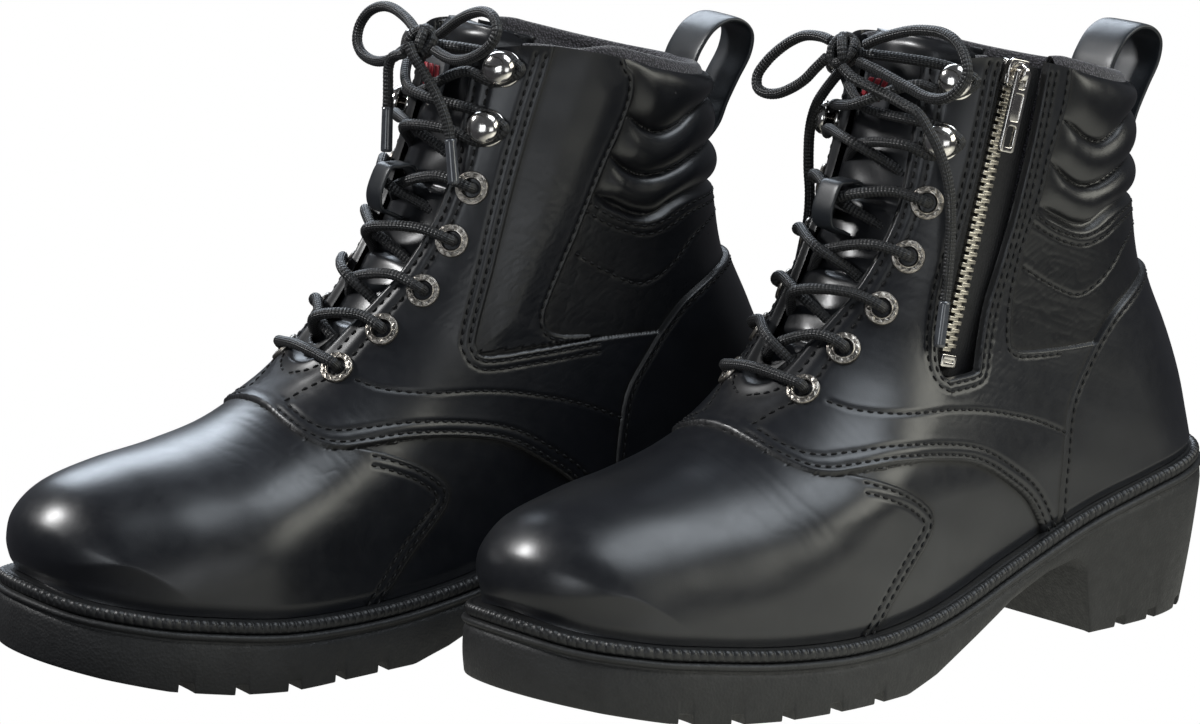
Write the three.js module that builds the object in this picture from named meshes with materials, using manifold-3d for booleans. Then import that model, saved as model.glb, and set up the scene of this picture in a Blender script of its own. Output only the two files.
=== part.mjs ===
// A pair of ankle-high lace-up work boots with a side zip, a block heel and a padded collar.
// Units are millimetres, +Z is up, the toes point along -Y and +X is the wearer's left.
// Each boot is modelled as a right boot in its own frame: x is across (the inner side is +),
// f is the distance forward from the back of the heel (so y = -f), and z is height.
import * as THREE from 'three';
import { mergeVertices } from 'three/addons/utils/BufferGeometryUtils.js';
import Module from 'manifold-3d';

const wasm = await Module();
wasm.setup();

// ---------------------------------------------------------------- driving sizes

// Side view of the upper, as [f, z]: the front line over the toe and up the tongue, the back
// line, the line where the upper meets the welt, and the top edge.
const RIDGE = [[286, 37], [288, 46], [284.5, 57], [273, 66.5], [252, 72], [229, 75.5], [208, 81.5],
  [190, 92], [174, 107.5], [160, 125], [149, 143.5], [141, 162], [134, 181], [128, 201]];
const BACK = [[-2, 57], [1, 70], [6, 86], [14, 104], [22, 122], [26, 140], [28, 158], [29, 174], [30, 186]];
const FEATHER = [[286, 37], [277, 33.5], [262, 30.4], [250, 28.3], [225, 24.8], [205, 23], [185, 22.2],
  [165, 22.6], [145, 25], [130, 28.3], [115, 32.5], [100, 36.7], [70, 45], [40, 52], [20, 55], [-2, 57]];
const TOPLINE = [[128, 201], [112, 204], [92, 201], [72, 195], [54, 190], [40, 187], [30, 186]];

// Half widths of the upper at the welt, along f, on the inner and the outer side.
const WIDTH_F = [-2, 20, 40, 70, 100, 130, 160, 190, 215, 240, 262, 275, 288];
const WIDTH_INNER = [30, 32, 34.5, 36, 40, 45.5, 51, 54, 51.5, 46.5, 42, 39.5, 37];
const WIDTH_OUTER = [30, 32, 33, 33.5, 33.5, 35, 38, 44, 48.5, 46.5, 42, 39.5, 37];
// Half width of the shaft by height, and the heights over which it takes over.
const SHAFT_Z = [60, 100, 130, 160, 190, 210];
const SHAFT_WIDTH = [33, 34.5, 35, 37, 39.5, 41];
const SHAFT_BLEND = [60, 120];
// How far from the front and back lines the section takes to round over, by height.
const ROUND_FRONT = { z: [30, 80, 120, 160, 210], r: [40, 40, 44, 46, 44] };
const ROUND_BACK = { z: [50, 90, 130, 200], r: [34, 36, 42, 44] };
const ROUND_POWER = 2.1;

// Layers of the upper, as distances out from the surface of the leather.
const LEATHER = [0, -1.8];
const STIFFENER = [-2.1, -3.9];
const LINING = [-4.3, -6.3];
const TONGUE = [-8.6, -12];
const TONGUE_PAD = [-2, -9]; // the raised middle of the tongue, between the facings
const COLLAR = [1.5, -3.9];
const GAP = 0.3; // clearance between neighbouring pieces

// The sole.
const WELT_HEIGHT = 4;
const WELT_PROUD = 4.6;
const SOLE_PROUD = 5.2;
const HEEL_TAPER = -1.5; // the heel's foot, measured like SOLE_PROUD
const HEEL_END = 62;
const SOLE_UNDERSIDE = [[-16, 2], [4, 0], [HEEL_END, 0], [64, 8], [68, 25], [74, 29], [90, 27], [110, 21.5],
  [130, 12.5], [150, 4], [164, 0], [215, 0], [235, 1.2], [255, 4.2], [272, 8.2], [300, 16]];
const GROOVES = { forefoot: [178, 196, 214, 232, 250], heel: [14, 32, 48], width: 5, depth: 3.4 };

// Lacing rows from the bottom up, as [f, z]: five eyelets and then two hooks.
const EYELETS = [[177.5, 97.5], [162.3, 109.8], [148.6, 122.3], [138.1, 138.6], [130.6, 156]];
const HOOKS = [[124.5, 175.8], [118.8, 195.6]];
const EYELET = { outer: 5.9, bore: 3.4, height: 1.7 };
const HOOK = { dome: 5.7, stem: 1.7, underside: 5.2, height: 7 };
const THROAT_HALF = 13; // half the gap between the two facings
const LACE_RADIUS = 1.8;

// Where each boot stands: the right boot at the origin, the left one ahead and turned.
const LEFT_PLACE = { x: -95.7, y: -99.6, yaw: -7.9 };
const PAIR_SHIFT = { x: 60.96, y: 190.42 }; // puts the middle of the pair at the origin

// ---------------------------------------------------------------- colours

const leather = { color: 0x17191d, roughness: 0.32, metalness: 0 };
const rubber = { color: 0x1c1d1f, roughness: 0.85, metalness: 0 };
const textile = { color: 0x1a1a1e, roughness: 0.95, metalness: 0 };
const board = { color: 0x6b5a45, roughness: 0.9, metalness: 0 };
const nickel = { color: 0xc9c6c0, roughness: 0.25, metalness: 1 };
const steel = { color: 0x8d9094, roughness: 0.4, metalness: 1 };
const lace = { color: 0x141416, roughness: 0.8, metalness: 0 };
const badge = { color: 0x4a4c50, roughness: 0.6, metalness: 0 };

// ---------------------------------------------------------------- small helpers

function table(value, at, out) {
  if (value <= at[0]) return out[0];
  for (let i = 1; i < at.length; i++) {
    if (value <= at[i]) {
      return out[i - 1] + (out[i] - out[i - 1]) * (value - at[i - 1]) / (at[i] - at[i - 1]);
    }
  }
  return out[out.length - 1];
}

const spaced = (points, count = 160) =>
  new THREE.SplineCurve(points.map(([f, z]) => new THREE.Vector2(f, z))).getSpacedPoints(count);

const shifted = (points, df, dz) => points.map(([f, z]) => [f + df, z + dz]);

function distanceTo(line, f, z) {
  let best = Infinity;
  for (let i = 1; i < line.length; i++) {
    const a = line[i - 1];
    const b = line[i];
    const length = (b.x - a.x) ** 2 + (b.y - a.y) ** 2;
    const t = THREE.MathUtils.clamp(((f - a.x) * (b.x - a.x) + (z - a.y) * (b.y - a.y)) / length, 0, 1);
    best = Math.min(best, Math.hypot(f - a.x - t * (b.x - a.x), z - a.y - t * (b.y - a.y)));
  }
  return best;
}

// Moves an outline's points outwards (or inwards, by a negative amount) in its plane.
function grown(points, amount) {
  const area = points.reduce((sum, [x, y], i) => {
    const [nx, ny] = points[(i + 1) % points.length];
    return sum + x * ny - nx * y;
  }, 0);
  const side = Math.sign(area);
  return points.map(([x, y], i) => {
    const [px, py] = points[(i + points.length - 1) % points.length];
    const [nx, ny] = points[(i + 1) % points.length];
    const before = new THREE.Vector2(y - py, px - x).normalize();
    const after = new THREE.Vector2(ny - y, x - nx).normalize();
    const middle = before.clone().add(after).normalize();
    const reach = side * amount / Math.max(0.4, middle.dot(after));
    return [x + middle.x * reach, y + middle.y * reach];
  });
}

function solid(geometry) {
  const bare = geometry.index ? geometry.toNonIndexed() : geometry.clone();
  bare.deleteAttribute('normal');
  bare.deleteAttribute('uv');
  const merged = mergeVertices(bare, 1e-4);
  return new wasm.Manifold(new wasm.Mesh({
    numProp: 3,
    vertProperties: new Float32Array(merged.attributes.position.array),
    triVerts: new Uint32Array(merged.index.array),
  }));
}

function geometryOf(manifold) {
  const mesh = manifold.getMesh();
  const geometry = new THREE.BufferGeometry();
  geometry.setAttribute('position', new THREE.BufferAttribute(Float32Array.from(mesh.vertProperties), 3));
  geometry.setIndex(new THREE.BufferAttribute(Uint32Array.from(mesh.triVerts), 1));
  const flat = geometry.toNonIndexed();
  flat.computeVertexNormals();
  return flat;
}

const joined = (solids) => solids.reduce((all, one) => all.add(one));

// ---------------------------------------------------------------- the shape of the upper

const ridgeLine = spaced(RIDGE);
const backLine = spaced(BACK);

function rounding(distance, reach) {
  const t = THREE.MathUtils.clamp(distance / reach, 0, 1);
  return (1 - (1 - t) ** ROUND_POWER) ** (1 / ROUND_POWER);
}

// Distance across from the middle plane to the leather at (f, z); side is 1 inner, -1 outer.
function across(f, z, side) {
  const low = table(f, WIDTH_F, side > 0 ? WIDTH_INNER : WIDTH_OUTER);
  const high = table(z, SHAFT_Z, SHAFT_WIDTH);
  const width = THREE.MathUtils.lerp(low, high, THREE.MathUtils.smoothstep(z, ...SHAFT_BLEND));
  const front = rounding(distanceTo(ridgeLine, f, z), table(z, ROUND_FRONT.z, ROUND_FRONT.r));
  const back = rounding(distanceTo(backLine, f, z), table(z, ROUND_BACK.z, ROUND_BACK.r));
  return side * width * front * back;
}

// The surface runs a little past the welt line and the top edge, so that panels can be cut from it.
const BELOW = 12;
const ABOVE = 13;
const wideRidge = spaced([[284, 37 - BELOW], ...RIDGE, [124.5, 201 + ABOVE]]);
const wideBack = spaced([[-4, 57 - BELOW], ...BACK, [30.5, 186 + ABOVE]]);
const wideFeather = spaced([[284, 37 - BELOW], ...shifted(FEATHER, 0, -BELOW).slice(1, -1), [-4, 57 - BELOW]]);
const wideTopline = spaced([[124.5, 201 + ABOVE], ...shifted(TOPLINE, -1, ABOVE).slice(1, -1), [30.5, 186 + ABOVE]]);

function along(line, t) {
  const at = t * (line.length - 1);
  const i = Math.min(Math.floor(at), line.length - 2);
  return line[i].clone().lerp(line[i + 1], at - i);
}

// Side-view position on the surface: u runs from the front line to the back line, v from bottom to top.
function sideView(u, v) {
  const edges = along(wideRidge, v).multiplyScalar(1 - u).add(along(wideBack, v).multiplyScalar(u));
  const ends = along(wideFeather, u).multiplyScalar(1 - v).add(along(wideTopline, u).multiplyScalar(v));
  const low = wideRidge[0].clone().lerp(wideBack[0], u);
  const high = wideRidge.at(-1).clone().lerp(wideBack.at(-1), u);
  return edges.add(ends).sub(low.lerp(high, v));
}

const STEPS_ROUND = 10; // panels of the surface from front to back, on each side
const STEPS_UP = 8;

function ringOf(view) {
  const ring = [];
  for (let k = 0; k < 2 * STEPS_ROUND; k++) {
    const step = k <= STEPS_ROUND ? k : 2 * STEPS_ROUND - k;
    const u = 0.5 - 0.5 * Math.cos(Math.PI * step / STEPS_ROUND);
    const { x: f, y: z } = view(u);
    const onMiddle = step === 0 || step === STEPS_ROUND;
    const x = onMiddle ? 0 : across(f, z, k < STEPS_ROUND ? 1 : -1);
    ring.push(new THREE.Vector3(x, -f, z));
  }
  return ring;
}

const surfaceRings = [];
for (let j = 0; j <= STEPS_UP; j++) surfaceRings.push(ringOf((u) => sideView(u, j / STEPS_UP)));

// A closed solid through rings of points that each run round the boot, with flat strips as its ends.
function loft(rings) {
  const count = rings[0].length;
  const half = count / 2;
  const index = [];
  const at = (k, j) => j * count + (k + count) % count;
  for (let j = 0; j < rings.length - 1; j++) {
    for (let k = 0; k < count; k++) {
      index.push(at(k, j), at(k + 1, j), at(k + 1, j + 1), at(k, j), at(k + 1, j + 1), at(k, j + 1));
    }
  }
  const last = rings.length - 1;
  for (let k = 0; k < half; k++) {
    const quad = (j) => [at(k, j), at(k + 1, j), at(-k - 1, j), at(-k, j)];
    const [a, b, c, d] = quad(0);
    const [p, q, r, s] = quad(last);
    if (b !== c) index.push(b, a, c, ...(a !== d ? [a, d, c] : []));
    else index.push(b, a, d);
    if (q !== r) index.push(p, q, r, ...(p !== s ? [p, r, s] : []));
    else index.push(p, q, s);
  }
  const geometry = new THREE.BufferGeometry().setFromPoints(rings.flat());
  geometry.setIndex(index);
  return solid(geometry);
}

function normalAt(j, k) {
  const ring = surfaceRings[j];
  const count = ring.length;
  const round = ring[(k + 1) % count].clone().sub(ring[(k + count - 1) % count]);
  const upper = surfaceRings[Math.min(j + 1, STEPS_UP)][k];
  const lower = surfaceRings[Math.max(j - 1, 0)][k];
  return round.cross(upper.clone().sub(lower)).normalize();
}

const fullBodies = new Map();
function fullBody(distance) {
  if (!fullBodies.has(distance)) {
    const rings = surfaceRings.map((ring, j) =>
      ring.map((point, k) => point.clone().addScaledVector(normalAt(j, k), distance)));
    fullBodies.set(distance, loft(rings));
  }
  return fullBodies.get(distance);
}

const layer = ([outer, inner]) => fullBody(outer).subtract(fullBody(inner));

// A point at a distance out from the leather, for a place given in side view.
function onSkin([f, z], side, distance) {
  const h = 0.4;
  const x = across(f, z, side);
  const slopeF = (across(f + h, z, side) - across(f - h, z, side)) / (2 * h);
  const slopeZ = (across(f, z + h, side) - across(f, z - h, side)) / (2 * h);
  const normal = new THREE.Vector3(1, slopeF, -slopeZ).multiplyScalar(side).normalize();
  return { point: new THREE.Vector3(x, -f, z).addScaledVector(normal, distance), normal };
}

// ---------------------------------------------------------------- cutting shapes

const WIDE = 90;

// A side-view outline, as [f, z], pushed across from x = low to x = high.
function sidePrism(points, low = -WIDE, high = WIDE) {
  const shape = new THREE.Shape(points.map(([f, z]) => new THREE.Vector2(f, z)));
  const geometry = new THREE.ExtrudeGeometry(shape, { depth: high - low, bevelEnabled: false });
  const turn = new THREE.Matrix4().makeBasis(
    new THREE.Vector3(0, -1, 0), new THREE.Vector3(0, 0, 1), new THREE.Vector3(-1, 0, 0));
  turn.setPosition(high, 0, 0);
  return solid(geometry.applyMatrix4(turn));
}

const inner = (points) => sidePrism(points, 0.2, WIDE);
const outer = (points) => sidePrism(points, -WIDE, -0.2);

// The part of the welt's plan outline that lies a distance outside the upper.
function planRing(proud, height) {
  const feather = spaced(FEATHER);
  const ring = ringOf((u) => along(feather, u));
  return ring.map((point, k) => {
    const before = ring[(k + ring.length - 1) % ring.length];
    const after = ring[(k + 1) % ring.length];
    const normal = new THREE.Vector3(after.y - before.y, before.x - after.x, 0).normalize();
    const offset = typeof proud === 'function' ? proud(-point.y) : proud;
    return new THREE.Vector3(point.x, point.y, height).addScaledVector(normal, offset);
  });
}

const planBlock = (proud, low = -10, high = 90) => loft([planRing(proud, low), planRing(proud, high)]);

// A layer that follows the welt line, between two heights above it.
function featherBand(low, high) {
  const [first, last] = [FEATHER[0], FEATHER.at(-1)];
  const line = [[first[0] + 20, first[1] + 8], ...FEATHER, [last[0] - 20, last[1] + 1]];
  return [...shifted(line, 0, low), ...shifted(line, 0, high).reverse()];
}

// ---------------------------------------------------------------- seams, as [f, z]

const QUARTER_EDGE = [[203, 94], [199.5, 86], [197.5, 79], [191, 74.5], [184, 73.5], [174, 74], [160, 75],
  [141, 73], [123, 69], [108, 61], [95.5, 51], [87, 39]];
const VAMP_EDGE = [[174, 74], [169, 71.5], [157, 65], [147, 58], [144.5, 52], [149, 45], [161, 36], [170, 27], [182, 12]];
const SHAFT_FRONT = [[104.5, 216], [105, 203], [112, 176], [119.5, 149], [126, 126], [131.5, 109], [130, 103.5]];
const COLLAR_FRONT = [[79, 212], [80, 197], [82, 186], [87, 167], [91.5, 153], [97, 137.5], [103, 121], [105.5, 110], [102, 104.5]];
const HEEL_TOP = [[68, 103], [63, 104], [54, 113.2], [30, 122.5], [-30, 124]];
const HEEL_FRONT = [[68, 98], [76, 83.6], [78.5, 71], [81, 40]];
const SHAFT_FOOT = [[130, 103.5], [102, 104.5], [68, 103]];

const quarterOutline = [...QUARTER_EDGE, [82, 38], ...[...HEEL_FRONT].reverse(), [68, 103],
  ...SHAFT_FOOT.slice(1, 2), ...[...SHAFT_FRONT].reverse(), [150, 216], [175, 150], [215, 105]];
const vampOutline = [...QUARTER_EDGE.slice(0, 5), ...VAMP_EDGE, [182, 5], [330, 5], [330, 120], [215, 120]];
const sidePanelOutline = [...QUARTER_EDGE.slice(5), [87, 5], [182, 5], ...[...VAMP_EDGE].reverse().slice(0, -1)];
const heelCoverOutline = [...HEEL_FRONT, [81, 5], [-30, 5], ...[...HEEL_TOP].reverse()];
const collarOutline = [...COLLAR_FRONT, ...HEEL_TOP, [-30, 212]];
const shaftPanelOutline = [...SHAFT_FRONT, ...[...COLLAR_FRONT].reverse()];
const liningFront = [[200, 66], [169, 87], [153.5, 99.5], [140.5, 112], [128, 131], [119, 152], [113, 174], [106, 200], [104, 220]];
const liningOutline = [[330, 5], [330, 66], ...liningFront, [-30, 220], [-30, 5]];
const tongueOutline = [[203, 58], [190, 66], [168, 86], [150, 103], [134, 124], [121, 150], [112, 174], [106, 200],
  [104, 207], [145, 209], [160, 160], [200, 110], [220, 70]];

// The top edge and the welt line trim every panel of the upper.
const TRIM_TOP = [...TOPLINE.map(([f, z]) => [f, z]), [-30, 184], [-30, 0], [330, 0], [330, 203], [140, 203]];
const aboveWelt = [[330, 52], ...FEATHER, [-30, 58], [-30, 240], [330, 240]];
const upperSpace = () => sidePrism(aboveWelt);
const underTop = (drop = 0) => sidePrism(shifted(TRIM_TOP, 0, -drop));

// ---------------------------------------------------------------- sole parts

function grooves() {
  const { width, depth } = GROOVES;
  const cuts = [];
  const underside = (f) => table(f, SOLE_UNDERSIDE.map(([at]) => at), SOLE_UNDERSIDE.map(([, z]) => z));
  for (const f of [...GROOVES.forefoot, ...GROOVES.heel]) {
    const low = underside(f) - 3;
    const high = underside(f) + depth;
    cuts.push(sidePrism([[f - width / 2, low], [f + width / 2, low], [f + width / 2 - 1, high], [f - width / 2 + 1, high]]));
  }
  return joined(cuts);
}

function outsole() {
  const foot = (f) => THREE.MathUtils.lerp(HEEL_TAPER, SOLE_PROUD, THREE.MathUtils.smoothstep(f, HEEL_END, 120));
  const block = loft([planRing(foot, -2), planRing(SOLE_PROUD, 44), planRing(SOLE_PROUD, 70)]);
  const top = featherBand(-WELT_HEIGHT - GAP, 40).slice(0, FEATHER.length + 2);
  return block.intersect(sidePrism([...SOLE_UNDERSIDE, ...top])).subtract(grooves());
}

const welt = () => planBlock(WELT_PROUD).subtract(planBlock(-5))
  .intersect(sidePrism(featherBand(-WELT_HEIGHT, -GAP)));

const insoleBoard = () => planBlock(-5 - GAP).intersect(sidePrism(featherBand(-WELT_HEIGHT, -1)));

const footbed = () => planBlock(-8.5).intersect(sidePrism(featherBand(0, 4)));

// ---------------------------------------------------------------- upper parts

const panel = (depths, cutter) => layer(depths).intersect(cutter).intersect(upperSpace()).intersect(underTop());

const throat = () => sidePrism([[206, 74], [206, 230], [90, 230], [104, 190], [120, 140], [150, 104], [186, 84]],
  -THROAT_HALF, THROAT_HALF);

const inset = (outline) => grown(outline, -GAP / 2);

const vamp = () => panel(LEATHER, sidePrism(inset(vampOutline)));
const sidePanel = (half) => panel(LEATHER, half(inset(sidePanelOutline)));
const quarter = (half) => panel(LEATHER, half(inset(quarterOutline))).subtract(throat());
const heelCover = () => panel(LEATHER, sidePrism(inset(heelCoverOutline)));
const collar = () => panel(COLLAR, sidePrism(inset(collarOutline)));
const shaftPanel = () => panel(LEATHER, outer(inset(shaftPanelOutline)));

const toeCap = () => panel(STIFFENER, sidePrism([[236, 5], [244, 120], [330, 120], [330, 5]]));
const heelCounter = () => panel(STIFFENER, sidePrism([[72, 5], [64, 92], [52, 101], [-30, 101], [-30, 5]]));

// ---------------------------------------------------------------- the side zip

const ZIP_TOP = new THREE.Vector3(32.8, -100.6, 200);
const ZIP_FOOT = new THREE.Vector3(30.2, -126.6, 104);
const ZIP = { ahead: 7, behind: 14, tapeThick: 0.8, teeth: 5.8, teethHigh: 2 };

// The zip's own frame: x runs down the chain, y back across it, and z out of the boot.
const zipFrame = (() => {
  const down = ZIP_FOOT.clone().sub(ZIP_TOP).normalize();
  const out = new THREE.Vector3(1, 0, 0).addScaledVector(down, -down.x).normalize();
  const back = out.clone().cross(down);
  return new THREE.Matrix4().makeBasis(down, back, out).setPosition(ZIP_TOP);
})();
const ZIP_LENGTH = ZIP_FOOT.distanceTo(ZIP_TOP);

// A box in the zip's frame, given by its lowest and highest corners.
function zipBox(x0, y0, z0, x1, y1, z1) {
  const box = new THREE.BoxGeometry(x1 - x0, y1 - y0, z1 - z0);
  box.translate((x0 + x1) / 2, (y0 + y1) / 2, (z0 + z1) / 2);
  return solid(box.applyMatrix4(zipFrame));
}

// The opening that the zip closes, in side view: its front edge and then the strip behind it.
const ZIP_SLOT = [[105.5, 220], [105.8, 203], [113, 168], [120.6, 142], [126.3, 124], [130.4, 106], [129.6, 101.5],
  [117.5, 101.5], [117, 107], [111.5, 122], [105, 139.5], [97.6, 167], [92.6, 192], [90, 220]];
const zipFacingOutline = [...[...COLLAR_FRONT].reverse(), [90.5, 220], [92.2, 192], [97.2, 167], [104.6, 139.5],
  [111.1, 122], [116.6, 107], [117.2, 104]];

const zipOpening = (margin) => sidePrism(grown(ZIP_SLOT, margin), 8, WIDE);

function zipChain() {
  const { ahead, behind, tapeThick, teeth, teethHigh } = ZIP;
  const strip = zipBox(-1, -ahead, -tapeThick, ZIP_LENGTH + 4, behind, 0);
  const row = zipBox(7, -teeth / 2, -0.2, ZIP_LENGTH - 1, teeth / 2, teethHigh);
  const stop = zipBox(ZIP_LENGTH - 1.5, -teeth / 2 - 0.6, -0.2, ZIP_LENGTH + 3, teeth / 2 + 0.6, teethHigh + 0.8);
  return joined([strip, row, stop]);
}

// Clear space round the tape and teeth.
function zipRoom() {
  const { ahead, behind, tapeThick } = ZIP;
  return zipBox(-2, -ahead - GAP, -tapeThick - GAP, ZIP_LENGTH + 4.5, behind + GAP, GAP);
}

const SLIDER = { start: -2.5, length: 9.5, half: 4.6, roof: 4.4 };
const PULL_PIVOT = { x: 1.5, z: 6.6 };

function zipSlider() {
  const { start, length, half, roof } = SLIDER;
  const { teeth, teethHigh } = ZIP;
  const body = zipBox(start, -half, GAP, start + length, half, roof);
  const channel = zipBox(start - 1, -teeth / 2 - GAP, 0, start + length + 1, teeth / 2 + GAP, teethHigh + GAP);
  const { x, z } = PULL_PIVOT;
  const bridge = zipBox(x - 3, -1.2, roof - 0.1, x + 3.5, 1.2, z + 1.9);
  const eye = zipBox(x - 1.4, -2, z - 1.2, x + 1.4, 2, z + 1.2);
  return body.subtract(channel).add(bridge).subtract(eye);
}

function zipPull() {
  const { x, z } = PULL_PIVOT;
  const [length, half, thick] = [27, 3.3, 0.75];
  const plate = zipBox(x - 0.8, -half, z - thick, x + length, half, z + thick);
  const eye = zipBox(x + 0.8, -1.7, z - 2, x + 6.5, 1.7, z + 2);
  const window = zipBox(x + 18, -1.9, z - 2, x + length - 1.6, 1.9, z + 2);
  return plate.subtract(eye).subtract(window);
}

const zipFacing = () => panel(LEATHER, inner(inset(zipFacingOutline)));

// ---------------------------------------------------------------- lacing hardware

// Stands a solid of revolution on the leather at a place.
function standing(profile, place, side, distance = 0, segments = 6) {
  const lathe = new THREE.LatheGeometry(profile.map(([r, h]) => new THREE.Vector2(r, h)), segments);
  const { point, normal } = onSkin(place, side, distance);
  const turn = new THREE.Quaternion().setFromUnitVectors(new THREE.Vector3(0, 1, 0), normal);
  lathe.applyMatrix4(new THREE.Matrix4().makeRotationFromQuaternion(turn).setPosition(point));
  return solid(lathe);
}

const rod = (radius, low, high) => [[0, low], [radius, low], [radius, high], [0, high]];

// The stay is the strip behind the facing that every eyelet and hook is clenched to.
function eyeletStay(side) {
  const { outer: ring, bore, height } = EYELET;
  const rows = [[183, 93.5], ...EYELETS, ...HOOKS, [118.6, 196.4]];
  const corners = [[1.2, -2.7], [-3, -2.7], [-3, -3.8], [1.2, -3.8]];
  const points = rows.flatMap(([f, z]) => corners.map(([ahead, depth]) => onSkin([f + ahead, z + ahead], side, depth).point));
  const index = side > 0 ? [2, 1, 0, 3, 2, 0] : [0, 1, 2, 0, 2, 3];
  for (let i = 0; i < rows.length - 1; i++) {
    for (let k = 0; k < 4; k++) {
      const [a, b] = [4 * i + k, 4 * i + (k + 1) % 4];
      index.push(...(side > 0 ? [a, b, b + 4, a, b + 4, a + 4] : [b, a, b + 4, b + 4, a, a + 4]));
    }
  }
  const top = 4 * (rows.length - 1);
  index.push(...(side > 0 ? [0, 1, 2, 0, 2, 3] : [2, 1, 0, 3, 2, 0]).map((i) => i + top));
  let stay = solid(new THREE.BufferGeometry().setFromPoints(points).setIndex(index));
  for (const place of EYELETS) stay = stay.add(standing(rod(ring, -3.2, height), place, side));
  for (const place of EYELETS) stay = stay.subtract(standing(rod(bore, -6, 6), place, side));
  const { dome, stem, underside, height: rise } = HOOK;
  for (const place of HOOKS) {
    const hook = [[0, -3.2], [stem, -3.2], [stem, underside], [dome, underside], [dome * 0.7, rise - 0.3], [0, rise]];
    stay = stay.add(standing(hook, place, side));
  }
  return stay;
}

function eyeletHoles(side) {
  const holes = EYELETS.map((place) => standing(rod(EYELET.outer + GAP, -8, 8), place, side));
  const studs = HOOKS.map((place) => standing(rod(HOOK.stem + GAP, -8, 8), place, side));
  return joined([...holes, ...studs]);
}

// ---------------------------------------------------------------- the lace

const LACING = [...EYELETS, ...HOOKS];

// The eyelet line at a row, counted from the bottom; a fraction lies between two rows.
function rowPlace(row) {
  const [low, high] = [LACING[Math.floor(row)], LACING[Math.min(Math.ceil(row), LACING.length - 1)]];
  return [THREE.MathUtils.lerp(low[0], high[0], row % 1), THREE.MathUtils.lerp(low[1], high[1], row % 1)];
}

// The front line level with a row: its place and its outward direction in side view.
function ridgeAt(row) {
  const [f, z] = rowPlace(row);
  let nearest = 1;
  for (let i = 2; i < ridgeLine.length - 1; i++) {
    const closer = Math.hypot(ridgeLine[i].x - f, ridgeLine[i].y - z) < Math.hypot(ridgeLine[nearest].x - f, ridgeLine[nearest].y - z);
    if (closer) nearest = i;
  }
  const a = ridgeLine[nearest - 1];
  const b = ridgeLine[nearest + 1];
  return { place: ridgeLine[nearest], normal: new THREE.Vector2(b.y - a.y, a.x - b.x).normalize() };
}

function onMiddle(row, distance) {
  const { place, normal } = ridgeAt(row);
  return new THREE.Vector3(0, -place.x - normal.x * distance, place.y + normal.y * distance);
}

// Beside a row, part of the way from the eyelet line (0) to the front line (1).
function besideRow(row, share, side, distance) {
  const [f, z] = rowPlace(row);
  const { place } = ridgeAt(row);
  return onSkin([THREE.MathUtils.lerp(f, place.x, share), THREE.MathUtils.lerp(z, place.y, share)], side, distance).point;
}

// One half of the lace, from the bar across the bottom row up to the knot. It goes into each
// eyelet from outside, out past the facing's edge and over to the other side's next eyelet.
function laceHalf(first, over) {
  const points = [];
  let side = first;
  EYELETS.forEach((place, row) => {
    points.push(besideRow(row, 0.6, side, 3.8), onSkin(place, side, 3.8).point, onSkin(place, side, -1).point);
    points.push(onSkin(place, side, -5.6).point, besideRow(row + 0.35, 0.62, side, -5.6));
    side = -side;
    points.push(onMiddle(row + 0.62, over ? 5.4 : 1.2));
  });
  HOOKS.forEach(([f, z], index) => {
    const row = EYELETS.length + index;
    points.push(besideRow(row - 0.2, 0.6, side, 3.6));
    points.push(onSkin([f + 2, z - 4.6], side, 2.9).point, onSkin([f - 4.6, z], side, 2.9).point);
    points.push(onSkin([f, z + 4.6], side, 2.9).point);
    side = -side;
    if (index === 0) points.push(onMiddle(row + 0.3, over ? 7.6 : 3.4));
  });
  return points;
}

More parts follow.
